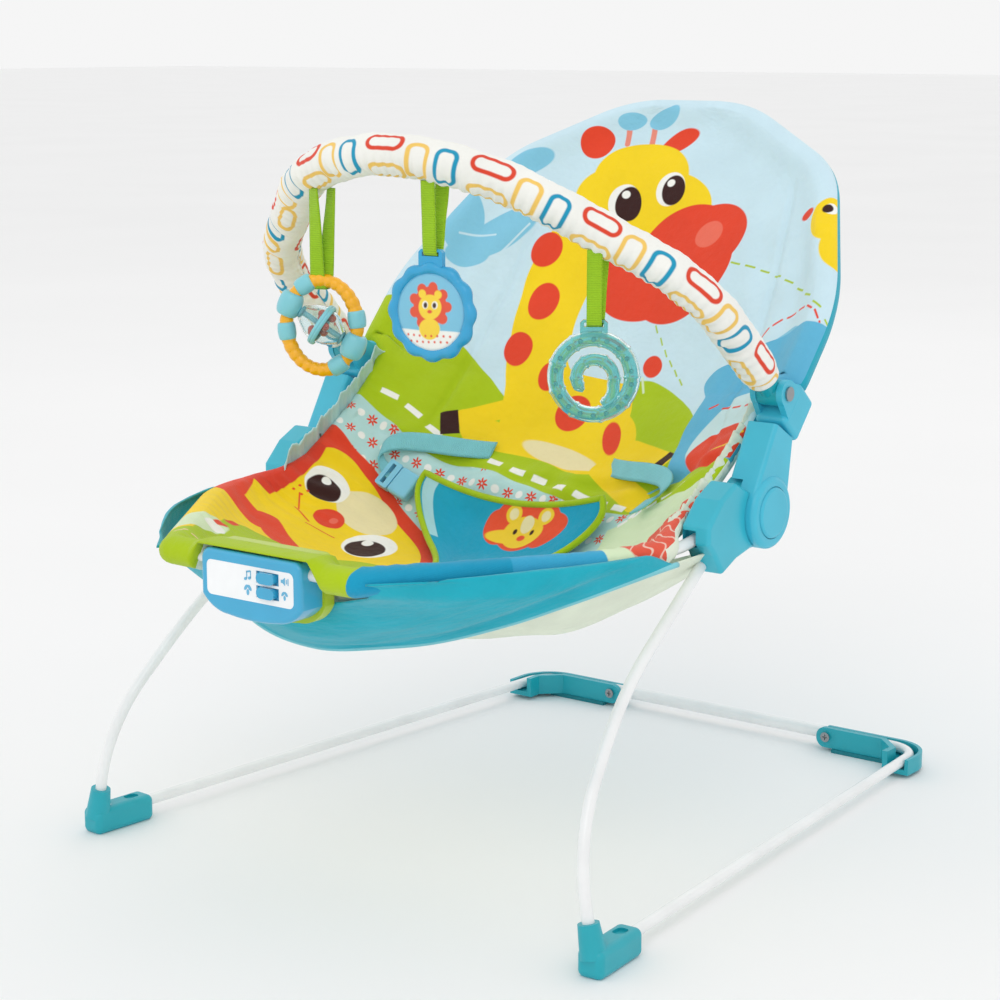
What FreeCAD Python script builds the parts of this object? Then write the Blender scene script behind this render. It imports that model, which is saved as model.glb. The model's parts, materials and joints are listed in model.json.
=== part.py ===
import FreeCAD, Part
import math
import os

V = FreeCAD.Vector

# ---------------------------------------------------------------- driving dimensions, mm
# +Z is up, +X is the child's left, +Y runs from the child's feet to the head.
# The outlines below count Y from the plane of the two front feet; export() moves
# everything so that the origin lies on the floor under the middle of the whole seat.
ROD_R = 4.0                  # bent steel leg and seat rods
FIT = 0.05                   # radial running fit round rods and pins
RAIL_Z = 12.0                # rod centre above the floor
FOOT_X = 220.0               # half the track at the front feet
REAR_X = 182.7               # half width at the rear corners
REAR_Y = 500.0               # rear crossbar
TUBE_R = 5.0                 # rear cross tube
TUBE_HALF = 150.0
SCREW_X = 105.8              # bracket screws
PIVOT_Y = 228.0              # recline pivot
PIVOT_Z = 252.0
HUB_X0 = 176.0               # inner and outer faces of the hub housing
HUB_SPLIT = 183.0
HUB_X1 = 198.0
KNUCKLE_X = 189.4            # outer face of the housing knuckle
ARM_X0 = 189.7               # inner face of the arm's disc
ARM_X1 = 205.0
KNUCKLE_R = 24.0
ARM_R = 25.0
SEAT_ROD_Z = 239.0
SEAT_FRONT_Y = -58.0
ROLL_R = 9.0                 # padded fabric roll round a rod
BACK_ANGLE = 48.4            # backrest above the horizontal
BACK_Y0 = 262.0              # where the arms end on the backrest plane
BACK_Z0 = 313.0
BACK_TUBE_R = 6.0
BACK_TUBE_X = 188.0
BAR_PIVOT_Y = 248.2          # toy bar hinge
BAR_PIVOT_Z = 330.6
BAR_ANGLE = 137.75
BAR_ROD_R = 5.0
SLEEVE_R = 14.5
UNIT_HALF = 43.0             # music and vibration unit
UNIT_FRONT = -69.0
UNIT_SPLIT = -49.0
UNIT_BACK = -39.0
UNIT_TOP = 248.0
UNIT_BOTTOM = 204.5
PAD_REAR_Y = 513.0           # rear edge of the rubber foot pads
KNOB_PROUD = 2.6             # slide switches stand this far off the face panel
MID_Y = (UNIT_FRONT - KNOB_PROUD + PAD_REAR_Y) / 2.0

BACK_U = V(0, math.cos(math.radians(BACK_ANGLE)), math.sin(math.radians(BACK_ANGLE)))
BACK_N = V(0, -BACK_U.z, BACK_U.y)
BAR_U = V(0, math.cos(math.radians(BAR_ANGLE)), math.sin(math.radians(BAR_ANGLE)))
X_AXIS = V(1, 0, 0)
Y_AXIS = V(0, 1, 0)
Z_AXIS = V(0, 0, 1)


# ---------------------------------------------------------------- helpers
def export(node, shape):
    moved = shape.translated(V(0, -MID_Y, 0))
    moved.exportStep(os.path.join("parts", node + ".step"))


def mirrored(shape):
    return shape.mirror(V(0, 0, 0), X_AXIS)


def export_pair(node, shape):
    """The child's left is at +X; the right one is its mirror image."""
    export(node + "_left", shape)
    export(node + "_right", mirrored(shape))


def box(x0, x1, y0, y1, z0, z1):
    return Part.makeBox(x1 - x0, y1 - y0, z1 - z0, V(x0, y0, z0))


def x_cylinder(radius, x0, x1, y, z):
    return Part.makeCylinder(radius, x1 - x0, V(x0, y, z), X_AXIS)


def y_cylinder(radius, y0, y1, x, z):
    return Part.makeCylinder(radius, y1 - y0, V(x, y0, z), Y_AXIS)


def plate_x(outline, x0, x1):
    """Extrude a (y, z) outline from x0 to x1."""
    points = [V(x0, y, z) for y, z in outline]
    face = Part.Face(Part.makePolygon(points + [points[0]]))
    return face.extrude(V(x1 - x0, 0, 0))


def plate_z(outline, z0, z1):
    """Extrude an (x, y) outline from z0 to z1."""
    points = [V(x, y, z0) for x, y in outline]
    face = Part.Face(Part.makePolygon(points + [points[0]]))
    return face.extrude(V(0, 0, z1 - z0))


def bent_path(points, radii):
    """Straight runs joined by tangent arcs; one radius for each inner point."""
    edges = []
    start = points[0]
    for here, after, radius in zip(points[1:-1], points[2:], radii):
        into = (here - start).normalize()
        out = (after - here).normalize()
        half = into.getAngle(out) / 2.0
        reach = radius * math.tan(half)
        arc_in = here - into * reach
        arc_out = here + out * reach
        to_centre = (out - into).normalize()
        middle = here + to_centre * (radius / math.cos(half) - radius)
        edges.append(Part.LineSegment(start, arc_in).toShape())
        edges.append(Part.Arc(arc_in, middle, arc_out).toShape())
        start = arc_out
    edges.append(Part.LineSegment(start, points[-1]).toShape())
    return Part.Wire(edges)


def pipe(points, radii, radius):
    """A round bar along a bent path."""
    path = bent_path(points, radii)
    direction = points[1] - points[0]
    ring = Part.Wire(Part.Circle(points[0], direction, radius).toShape())
    return path.makePipeShell([ring], True, False)


def skin_solid(upper, lower):
    """A closed solid between two grids of points with the same rows and columns."""
    rows = len(upper)
    cols = len(upper[0])
    faces = []

    def triangle(a, b, c):
        if (b - a).cross(c - a).Length > 1e-6:
            faces.append(Part.Face(Part.makePolygon([a, b, c, a])))

    def quad(a, b, c, d):
        triangle(a, b, c)
        triangle(a, c, d)

    for i in range(rows - 1):
        for j in range(cols - 1):
            quad(upper[i][j], upper[i][j + 1], upper[i + 1][j + 1], upper[i + 1][j])
            quad(lower[i][j], lower[i + 1][j], lower[i + 1][j + 1], lower[i][j + 1])
    for j in range(cols - 1):
        quad(upper[0][j], lower[0][j], lower[0][j + 1], upper[0][j + 1])
        quad(upper[-1][j], upper[-1][j + 1], lower[-1][j + 1], lower[-1][j])
    for i in range(rows - 1):
        quad(upper[i][0], upper[i + 1][0], lower[i + 1][0], lower[i][0])
        quad(upper[i][-1], lower[i][-1], lower[i + 1][-1], upper[i + 1][-1])
    sewn = Part.makeCompound(faces)
    sewn.sewShape()
    solid = Part.Solid(sewn.Shells[0])
    if solid.Volume < 0:
        solid.reverse()
    return solid


def interpolate(table, at):
    """Straight-line look-up in rows that start with the running coordinate."""
    for low, high in zip(table, table[1:]):
        if at <= high[0]:
            break
    share = (at - low[0]) / (high[0] - low[0])
    return [a + (b - a) * share for a, b in zip(low[1:], high[1:])]


def spread(first, last, count):
    return [first + (last - first) * i / (count - 1) for i in range(count)]


# ---------------------------------------------------------------- steel frame
LEG_POINTS = [
    V(181.2, 200, 240.1), V(189.5, 71, 158.3), V(206, -2.5, 82), V(FOOT_X, -2, RAIL_Z),
    V(REAR_X, REAR_Y, RAIL_Z), V(TUBE_HALF - 35.0, REAR_Y, RAIL_Z),
]
LEG_BENDS = [300.0, 110.0, 20.0, 25.0]
SEAT_ROD_POINTS = [
    V(182, 180, 243.5), V(182, 150, SEAT_ROD_Z), V(182, 92, SEAT_ROD_Z),
    V(78, SEAT_FRONT_Y, SEAT_ROD_Z), V(-78, SEAT_FRONT_Y, SEAT_ROD_Z),
    V(-182, 92, SEAT_ROD_Z), V(-182, 150, SEAT_ROD_Z), V(-182, 180, 243.5),
]
SEAT_ROD_BENDS = [100.0, 120.0, 18.0, 18.0, 120.0, 100.0]


def leg_bar(radius):
    return pipe(LEG_POINTS, LEG_BENDS, radius)


def seat_bar(radius):
    return pipe(SEAT_ROD_POINTS, SEAT_ROD_BENDS, radius)


def rear_cross_tube():
    tube = x_cylinder(TUBE_R, -TUBE_HALF, TUBE_HALF, REAR_Y, RAIL_Z)
    tube = tube.cut(x_cylinder(ROD_R + FIT, -TUBE_HALF, TUBE_HALF, REAR_Y, RAIL_Z))
    for x in (-SCREW_X, SCREW_X):
        tube = tube.cut(y_cylinder(1.85, REAR_Y - 7, REAR_Y + 7.2, x, RAIL_Z))
    return tube


def front_foot():
    shoe = box(FOOT_X - 9.5, FOOT_X + 9.5, -9, 44, 0, 19.5)
    shoe = shoe.makeFillet(5.0, shoe.Edges)
    shoe = shoe.cut(box(FOOT_X - 20, FOOT_X + 20, -20, 60, -1, 0.6))
    shoe.translate(V(0, 0, -0.6))
    skew = math.degrees(math.atan((FOOT_X - REAR_X) / REAR_Y))
    shoe.rotate(V(FOOT_X, 0, 0), Z_AXIS, skew)
    leg = (LEG_POINTS[2] - LEG_POINTS[3]).normalize()
    collar = Part.makeCone(9.0, 7.0, 22, LEG_POINTS[3], leg)
    slot = box(FOOT_X - 6, FOOT_X + 2, 24, 35, 17.0, 30)
    upright = [edge for edge in slot.Edges if abs(edge.tangentAt(edge.FirstParameter).z) > 0.9]
    slot = slot.makeFillet(3.0, upright)
    return shoe.fuse(collar).cut(leg_bar(ROD_R + FIT)).cut(slot).removeSplitter()


def rear_bracket():
    """Tray that follows the rod round its rear corner, with a tall inner and a low outer wall."""
    outer = plate_z([(97, 489), (156, 489), (171, 474), (171, 462), (193.6, 462),
                     (193.6, 509.5), (97, 509.5)], 3, 19.5)
    corner = [e for e in outer.Edges if e.Length < 20 and abs(e.CenterOfMass.x - 193.6) < 0.1
              and abs(e.CenterOfMass.y - 509.5) < 0.1]
    outer = outer.makeFillet(31.0, corner)
    ends = [e for e in outer.Edges if abs(e.CenterOfMass.x - 97) < 0.1
            and abs(e.tangentAt(e.FirstParameter).y) > 0.9]
    outer = outer.makeFillet(7.5, ends)
    channel = plate_z([(90, 493.5), (158, 493.5), (175.5, 476), (175.5, 455), (190.6, 455),
                       (190.6, 506.5), (90, 506.5)], 6.95, 30)
    inner = [e for e in channel.Edges if abs(e.CenterOfMass.x - 190.6) < 0.1
             and abs(e.CenterOfMass.y - 506.5) < 0.1]
    channel = channel.makeFillet(28.0, inner)
    low_wall = plate_z([(90, 500), (164, 500), (182, 482), (182, 455), (200, 455), (200, 520), (90, 520)], 15.5, 30)
    hole = y_cylinder(1.85, 480, 520, SCREW_X, RAIL_Z)
    return outer.cut(channel).cut(low_wall).cut(hole)


def rear_pads():
    pad = box(112, 168, 487, 513, 0, 3)
    return Part.makeCompound([pad, mirrored(pad)])


def bracket_screws():
    head = Part.makeCone(3.0, 4.0, 1.8, V(SCREW_X, 488.8, RAIL_Z), V(0, -1, 0))
    screw = head.fuse(y_cylinder(1.8, 488, 507, SCREW_X, RAIL_Z))
    for turn in (0, 90):
        cross = box(SCREW_X - 2.2, SCREW_X + 2.2, 486, 488.2, RAIL_Z - 0.5, RAIL_Z + 0.5)
        cross.rotate(V(SCREW_X, 0, RAIL_Z), Y_AXIS, turn)
        screw = screw.cut(cross)
    return Part.makeCompound([screw, mirrored(screw)])


# ---------------------------------------------------------------- hub and recline arm
HOUSING_OUTLINE = [(176, 217), (166, 232), (158, 240), (158, 252), (174, 268), (192, 277),
                   (206, 270), (226, 262), (226, 229), (212, 229), (194, 225)]
HOUSING_CAVITY = [(172, 247), (176, 262), (192, 271), (200, 266), (200, 251)]
HUB_SCREWS = [(168, 256), (196, 269)]


def hub_housing():
    """Elbow that holds the leg rod and the seat rod and carries the recline pivot."""
    body = plate_x(HOUSING_OUTLINE, HUB_X0, HUB_X1)
    body = body.makeFillet(3.0, [e for e in body.Edges if e.CenterOfMass.y < 225])
    body = body.cut(x_cylinder(ARM_R + 0.6, KNUCKLE_X, HUB_X1 + 1, PIVOT_Y, PIVOT_Z))
    knuckle = x_cylinder(KNUCKLE_R, HUB_X0, KNUCKLE_X, PIVOT_Y, PIVOT_Z)
    body = body.fuse(knuckle)
    body = body.cut(plate_x(HOUSING_CAVITY, HUB_X0 + 2.5, HUB_X1 - 2.5))
    slot = box(176.5, 187.5, 150, 166, 237, 249)
    body = body.cut(slot).cut(leg_bar(ROD_R + FIT)).cut(seat_bar(ROD_R + FIT))
    return body.cut(x_cylinder(4.0 + FIT, HUB_X0 - 1, HUB_X1, PIVOT_Y, PIVOT_Z))


def hub_screw_set():
    screws = []
    for y, z in HUB_SCREWS:
        shank = x_cylinder(1.5, HUB_X0 - 0.2, HUB_X1 - 4, y, z)
        screws.append(shank.fuse(x_cylinder(2.8, HUB_X0 - 1.6, HUB_X0 - 0.2, y, z)))
    return screws


def split_hub():
    body = hub_housing()
    for y, z in HUB_SCREWS:
        body = body.cut(x_cylinder(1.5, HUB_X0 - 1, HUB_X1 - 4, y, z))
        body = body.cut(x_cylinder(2.8, HUB_X0 - 2, HUB_X0 - 0.2, y, z))
    inner = body.common(box(HUB_X0 - 5, HUB_SPLIT, 100, 300, 150, 350))
    outer = body.common(box(HUB_SPLIT, HUB_X1 + 5, 100, 300, 150, 350))
    return inner, outer


ARM_OUTLINE = [(206.5, 264.5), (234.0, 312), (257.5, 298), (251.5, 256)]


def back_point(x, s, n=0.0):
    """Point on the backrest plane: s up the slope from the arm tops, n off its front face."""
    return V(x, BACK_Y0, BACK_Z0) + BACK_U * s + BACK_N * n


BACK_TUBE_POINTS = [back_point(BACK_TUBE_X, -30), back_point(BACK_TUBE_X, 92),
                    back_point(142, 206), back_point(50, 262)]
BACK_TUBE_POINTS += [V(-p.x, p.y, p.z) for p in reversed(BACK_TUBE_POINTS)]
BACK_TUBE_BENDS = [150.0, 70.0, 100.0, 100.0, 70.0, 150.0]


def back_bar(radius):
    return pipe(BACK_TUBE_POINTS, BACK_TUBE_BENDS, radius)


def arm_half_spaces():
    inner = box(150, 192, 100, 400, 150, 450)
    outer = box(192, 230, 100, 400, 150, 450)
    return inner, outer


def recline_arm():
    """Tapered arm from the pivot disc up to the collar, holding the backrest tube."""
    disc = x_cylinder(ARM_R, ARM_X0, ARM_X1, PIVOT_Y, PIVOT_Z)
    blade = plate_x(ARM_OUTLINE, 179.0, 202.5)
    blade = blade.makeFillet(3.0, [e for e in blade.Edges if abs(e.tangentAt(e.FirstParameter).x) < 0.5
                                   and e.Length > 30])
    blade = blade.cut(x_cylinder(KNUCKLE_R + 4, 170, ARM_X0, PIVOT_Y, PIVOT_Z))
    arm = disc.makeFillet(4.0, [disc.Edges[0]]).fuse(blade)
    arm = arm.cut(x_cylinder(18.0, 198.0, 210, PIVOT_Y, PIVOT_Z))
    arm = arm.cut(x_cylinder(7.05, 193.95, 210, PIVOT_Y, PIVOT_Z))
    arm = arm.cut(x_cylinder(4.0 + FIT, 180, 210, PIVOT_Y, PIVOT_Z))
    return arm.cut(back_bar(BACK_TUBE_R + FIT))


def pivot_bolts():
    shank = x_cylinder(4.0, HUB_X0 - 0.5, 197.5, PIVOT_Y, PIVOT_Z)
    head = x_cylinder(7.5, HUB_X0 - 3.0, HUB_X0 - 0.2, PIVOT_Y, PIVOT_Z)
    end = x_cylinder(6.8, 194.2, 197.5, PIVOT_Y, PIVOT_Z)
    bolt = shank.fuse(head).fuse(end)
    return Part.makeCompound([bolt, mirrored(bolt)])


def recline_button():
    cap = x_cylinder(17.6, 201.4, 206.6, PIVOT_Y, PIVOT_Z)
    rim = max(cap.Edges, key=lambda e: e.CenterOfMass.x)
    return cap.makeFillet(2.2, [rim])


# ---------------------------------------------------------------- backrest
BACK_ROWS = [  # s, half width, sag behind the plane
    (-64, 143, 35), (-34, 154, 37), (0, 165, 38), (40, 172, 36), (70, 172, 34),
    (104, 166, 30), (137, 152, 24), (161, 138, 19), (188, 121, 14), (215, 98, 8), (235, 72, 4),
    (248, 46, 1),
]
BACK_PAD = 14.0


def backrest_pad():
    """Padded panel that hangs between the two sides of the backrest tube."""
    upper = []
    lower = []
    for s, half, sag in BACK_ROWS:
        row = spread(-1, 1, 11)
        upper.append([back_point(half * u, s, 4 - sag * (1 - u * u)) for u in row])
        lower.append([back_point(half * u, s, 4 - BACK_PAD - sag * (1 - u * u)) for u in row])
    return skin_solid(upper, lower)


def backrest_roll():
    """Fabric sleeve round the backrest tube, from one collar over the top to the other."""
    ends = [V(p.x, p.y, p.z) for p in BACK_TUBE_POINTS]
    ends[0] = back_point(BACK_TUBE_X, 26)
    ends[-1] = back_point(-BACK_TUBE_X, 26)
    return pipe(ends, BACK_TUBE_BENDS, ROLL_R).cut(back_bar(BACK_TUBE_R + 0.3))


def toy_bar_collar():
    """Clip round the backrest tube with two cheeks for the toy bar hinge."""
    block = box(178, 203, -12, 13, -13.5, 20)
    block = block.makeFillet(4.0, block.Edges)
    tilt = FreeCAD.Matrix(1, 0, 0, 0, 0, BACK_N.y, BACK_U.y, BACK_Y0,
                          0, BACK_N.z, BACK_U.z, BACK_Z0, 0, 0, 0, 1)
    block = block.transformGeometry(tilt)
    cheeks = []
    for x0, x1 in ((178, 182.2), (198.3, 203)):
        ear = x_cylinder(9.5, x0, x1, BAR_PIVOT_Y, BAR_PIVOT_Z)
        a = back_point(x0, -9, 10)
        b = back_point(x0, 17, 10)
        web = plate_x([(a.y, a.z), (b.y, b.z), (BAR_PIVOT_Y + 9.5 * BACK_U.y, BAR_PIVOT_Z + 9.5 * BACK_U.z),
                       (BAR_PIVOT_Y - 9.5 * BACK_U.y, BAR_PIVOT_Z - 9.5 * BACK_U.z)], x0, x1)
        cheeks.append(ear.fuse(web))
    collar = block.fuse(cheeks)
    collar = collar.cut(x_cylinder(10.0, 182.2, 198.3, BAR_PIVOT_Y, BAR_PIVOT_Z))
    collar = collar.cut(x_cylinder(3.0 + FIT, 170, 210, BAR_PIVOT_Y, BAR_PIVOT_Z))
    return collar.cut(back_bar(BACK_TUBE_R + FIT))


# ---------------------------------------------------------------- toy bar
def bar_point(x, t):
    """Point on the toy bar plane, t away from its hinge."""
    return V(x, BAR_PIVOT_Y, BAR_PIVOT_Z) + BAR_U * t


BAR_POINTS = [bar_point(190.2, 12), bar_point(186, 116), bar_point(91, 213), bar_point(33, 240)]
BAR_POINTS += [V(-p.x, p.y, p.z) for p in reversed(BAR_POINTS)]
BAR_BENDS = [105.0, 125.0, 150.0, 150.0, 125.0, 105.0]
SLEEVE_START = 24.0


def toy_bar(radius, start):
    points = [V(p.x, p.y, p.z) for p in BAR_POINTS]
    first = bar_point(190.2, 12)
    second = bar_point(186, 116)
    share = (start - 12) / (116 - 12)
    points[0] = first + (second - first) * share
    points[-1] = V(-points[0].x, points[0].y, points[0].z)
    return pipe(points, BAR_BENDS, radius)


def bar_plugs():
    """Hinge tongues at the two ends of the toy bar."""
    eye = x_cylinder(9.0, 182.6, 197.9, BAR_PIVOT_Y, BAR_PIVOT_Z)
    neck = Part.makeCylinder(7.6, 22.5, bar_point(190.2, 1), BAR_U)
    plug = eye.fuse(neck).cut(toy_bar(BAR_ROD_R + FIT, 12))
    plug = plug.cut(x_cylinder(3.0 + FIT, 170, 210, BAR_PIVOT_Y, BAR_PIVOT_Z))
    return Part.makeCompound([plug, mirrored(plug)])


def bar_pins():
    pin = x_cylinder(3.0, 176.6, 204.4, BAR_PIVOT_Y, BAR_PIVOT_Z)
    for x0 in (176.6, 203.2):
        pin = pin.fuse(x_cylinder(5.0, x0, x0 + 1.2, BAR_PIVOT_Y, BAR_PIVOT_Z))
    return Part.makeCompound([pin, mirrored(pin)])


# ---------------------------------------------------------------- hanging toys
TOYS = {"rattle": -72.0, "disc": 34.0, "teether": 131.0}   # where each loop sits across the bar
LOOP_DROP = {"rattle": 54.0, "disc": 46.0, "teether": 47.0}
TOY_YAW = {"rattle": 30.0, "disc": 8.0, "teether": 34.0}
LOOP_WIDTH = 12.0


def bar_centre(x):
    """Point and direction of the toy bar's centre line at a distance x across it."""
    line = bent_path(BAR_POINTS, BAR_BENDS).discretize(1201)
    upper = [i for i, p in enumerate(line) if p.z > 430]
    best = min(upper, key=lambda i: abs(line[i].x - x))
    return line[best], (line[best + 1] - line[best - 1]).normalize()


def toy_frame(name):
    """Hinge point, hinge direction, eye (top of the toy) and the yaw of its face."""
    hinge, along = bar_centre(TOYS[name])
    eye = hinge - Z_AXIS * (SLEEVE_R + LOOP_DROP[name])
    return hinge, along, eye


def placed(shape, name):
    """Move a toy part from its own frame (eye at the origin, face to -Y) to its place."""
    eye = toy_frame(name)[2]
    shape.rotate(V(0, 0, 0), Z_AXIS, TOY_YAW[name])
    shape.translate(eye)
    return shape


def webbing_loop(name):
    """Flat webbing round the sleeve, down to the eye of the toy and back."""
    hinge, along, eye = toy_frame(name)
    start = hinge - along * (LOOP_WIDTH / 2)
    band = Part.makeCylinder(SLEEVE_R + 2.6, LOOP_WIDTH, start, along)
    band = band.cut(Part.makeCylinder(SLEEVE_R + 1.0, LOOP_WIDTH, start, along))
    half = LOOP_WIDTH / 2
    strap = box(-half, half, -1.3, 1.3, eye.z + 3.5, hinge.z - SLEEVE_R - 1.8)
    strap.rotate(V(0, 0, 0), Z_AXIS, math.degrees(math.atan2(along.y, along.x)))
    strap.translate(V(hinge.x, hinge.y, 0))
    strap = strap.cut(Part.makeCylinder(SLEEVE_R + 1.0, 3 * LOOP_WIDTH, hinge - along * 1.5 * LOOP_WIDTH, along))
    return band.fuse(strap).removeSplitter()


RING_CENTRE = -38.0          # ring and disc centres below the eye
RATTLE_ASPECT = 0.8
AXLE_TILT = 33.0


def rattle_ring():
    ring = Part.makeTorus(31.0, 4.6, V(0, 0, 0), Y_AXIS)
    ring = ring.transformGeometry(FreeCAD.Matrix(RATTLE_ASPECT, 0, 0, 0, 0, 1, 0, 0, 0, 0, 1, 0, 0, 0, 0, 1))
    ring.translate(V(0, 0, RING_CENTRE))
    return ring


def axle_line():
    reach = math.radians(AXLE_TILT)
    return V(math.cos(reach), 0, -math.sin(reach))


def axle_rod(radius, half):
    return Part.makeCylinder(radius, 2 * half, V(0, 0, RING_CENTRE) - axle_line() * half, axle_line())


def rattle_parts():
    ring = rattle_ring()
    axle = axle_rod(2.0, 26.5)
    middle = V(0, 0, RING_CENTRE)
    clamps = []
    for side in (-1, 1):
        foot = middle + axle_line() * side * 18.5
        clamp = Part.makeCone(5.0, 8.4, 3.5, foot, axle_line() * side)
        clamp = clamp.fuse(Part.makeCone(8.4, 6.5, 7.5, foot + axle_line() * side * 3.5, axle_line() * side))
        clamps.append(clamp.cut(ring))
    ring = ring.cut(axle_rod(2.0 + FIT, 27))
    shell = axle_rod(13.0, 8.0)
    hollow = axle_rod(11.8, 7.6)
    tips = []
    for side in (-1, 1):
        base = middle + axle_line() * side * 8.0
        shell = shell.fuse(Part.makeCone(13.0, 5.0, 9.5, base, axle_line() * side))
        tips.append(Part.makeCone(11.8, 4.6, 7.8, middle + axle_line() * side * 7.6, axle_line() * side))
    barrel = shell.cut(hollow.fuse(tips)).cut(axle_rod(2.0 + FIT, 27))
    across = V(axle_line().z, 0, -axle_line().x)
    beads = []
    for k in range(7):
        turn = 2 * math.pi * k / 7
        out = across * math.cos(turn) + Y_AXIS * math.sin(turn)
        beads.append(Part.makeSphere(3.0, middle + out * 8.0 + axle_line() * (3.2 if k % 2 else -3.2)))
    return {"rattle_ring": ring, "rattle_axle": axle.fuse(clamps), "rattle_barrel": barrel,
            "rattle_beads": Part.makeCompound(beads)}


def hanging_eye():
    """Small eye that the webbing passes through, at the top of a toy."""
    eye = box(-9, 9, -2.2, 2.2, -8, 3.2)
    eye = eye.makeFillet(2.0, [e for e in eye.Edges if abs(e.tangentAt(e.FirstParameter).y) > 0.9])
    return eye.cut(box(-6.4, 6.4, -3, 3, -1.4, 1.4))


def disc_parts():
    rim = y_cylinder(32.0, -4.5, 4.5, 0, RING_CENTRE)
    rim = rim.makeFillet(2.5, rim.Edges)
    frame = rim.fuse(hanging_eye()).cut(y_cylinder(26.0, -10, 10, 0, RING_CENTRE))
    insert = y_cylinder(25.9, -3.0, 3.0, 0, RING_CENTRE)
    return {"disc_frame": frame, "disc_insert": insert.makeFillet(1.0, insert.Edges)}


def teether():
    outer = Part.makeTorus(25.0, 6.0, V(0, 0, RING_CENTRE + 4), Y_AXIS)
    inner = Part.makeTorus(11.5, 4.2, V(0, 0, RING_CENTRE + 3), Y_AXIS)
    bridge = Part.makeCylinder(4.0, 10, V(13, 0, RING_CENTRE + 3), X_AXIS)
    return outer.fuse(inner).fuse(bridge).fuse(hanging_eye())


# ---------------------------------------------------------------- seat fabric
SEAT_ROWS = [  # y at the sides, y in the middle, half width, rim height, middle height
    (-34, -34, 76, 238, 233), (-18, -20, 88, 238, 220), (12, 10, 110, 238, 208),
    (60, 58, 142, 238, 198), (100, 104, 155, 238, 191), (140, 150, 157, 240, 186),
    (170, 192, 150, 244, 190), (190, 206, 84, 204, 202), (205, 221, 70, 226, 223),
]
SEAT_THICK = 14.0


def seat_surface(share_along, u, drop=0.0):
    """Point on the seat: share_along runs 0 to 1 from the front rim to the rear edge."""
    at = share_along * (len(SEAT_ROWS) - 1)
    table = [(i,) + row for i, row in enumerate(SEAT_ROWS)]
    side_y, mid_y, half, rim_z, mid_z = interpolate(table, at)
    bow = abs(u) ** 2.4
    return V(half * u, mid_y + (side_y - mid_y) * bow, mid_z + (rim_z - mid_z) * bow - drop)


def seat_pad():
    upper = []
    lower = []
    for v in spread(0, 1, 13):
        line = spread(-1, 1, 13)
        upper.append([seat_surface(v, u) for u in line])
        lower.append([seat_surface(v, u, SEAT_THICK) for u in line])
    return skin_solid(upper, lower)


def seat_rolls():
    """Padded roll round the seat rod on each side, open in the middle for the unit."""
    roll = seat_bar(ROLL_R).cut(seat_bar(ROD_R + 0.3))
    side = roll.common(box(UNIT_HALF + 4, 200, -80, 122, 200, 280))
    return side


WING_ROWS = [  # y, top height, x at the top, lower height, x below
    (122, 247, 170, 236, 168), (143, 259, 170, 236, 167), (165, 268, 171, 236, 166),
    (183, 277, 172, 240, 165), (199, 285, 172, 248, 165), (212, 292, 173, 260, 166),
]


def seat_wing():
    """Gathered side panel from the seat roll up to the foot of the backrest."""
    outer = []
    inner = []
    for y, top_z, top_x, low_z, low_x in WING_ROWS:
        column = spread(0, 1, 4)
        outer.append([V(top_x + (low_x - top_x) * t, y, top_z + (low_z - top_z) * t) for t in column])
        inner.append([V(top_x - 5 + (low_x - top_x) * t, y, top_z + (low_z - top_z) * t) for t in column])
    return skin_solid(outer, inner)


POCKET_ROWS = [  # y at the sides, y in the middle, half width, rim height, middle height
    (-34, -34, 70, 217, 209), (-15, -27, 98, 215, 198), (15, -19, 118, 214, 188), (60, -11, 144, 214, 180),
    (95, -6, 152, 214, 176), (122, -3, 152, 214, 173),
]


def underside_pocket():
    """Thin fabric apron under the front of the seat, with a hem that curves forward."""
    upper = []
    lower = []
    for side_y, mid_y, half, rim_z, mid_z in POCKET_ROWS:
        bows = [(u, abs(u) ** 2.0) for u in spread(-1, 1, 11)]
        row = [V(half * u, mid_y + (side_y - mid_y) * bow, mid_z + (rim_z - mid_z) * bow) for u, bow in bows]
        upper.append(row)
        lower.append([p - Z_AXIS * 3.0 for p in row])
    return skin_solid(upper, lower)


# ---------------------------------------------------------------- harness
PAD_ROWS = [  # y, middle height, half width, rise at the two ends
    (118, 196.5, 24, 1), (150, 195.5, 25, 1), (166, 197.5, 38, 4), (180, 202, 58, 8), (192, 211, 75, 14),
    (201, 224, 84, 16), (206, 238, 80, 13),
]


def crotch_pad():
    """Padded wing: a neck on the seat that widens and rises to a curved rear edge."""
    upper = []
    lower = []
    for y, mid_z, half, rise in PAD_ROWS:
        row = [V(half * u, y, mid_z + rise * u * u) for u in spread(-1, 1, 9)]
        lean = min(1.0, max(0.0, (y - 160) / 40.0))
        off = V(0, 3.6 * lean, -5.2 + 2.4 * lean)
        upper.append(row)
        lower.append([p + off for p in row])
    return skin_solid(upper, lower)


STRAP_LINE = [V(121, 205, 252), V(129, 212, 262), V(122, 222, 268), V(100, 232, 267), V(60, 236, 264)]
STRAP_HALF = [V(3, 5.5, 4), V(2, 5.5, 4), V(1, 4, 5), V(0, 4, 6), V(0, 4, 6)]


def waist_strap():
    """Webbing that leaves the pad's end, folds over and runs in to the backrest."""
    upper = [[p - w, p + w] for p, w in zip(STRAP_LINE, STRAP_HALF)]
    lower = [[p + V(0, 1.2, -1.1) for p in row] for row in upper]
    return skin_solid(upper, lower)


BUCKLE_AT = V(-104, 202, 243)
BUCKLE_OUT = V(-0.93, 0, 0.367)      # the tongue slides out this way
BUCKLE_FACE = V(0.232, -0.774, 0.589)


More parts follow.
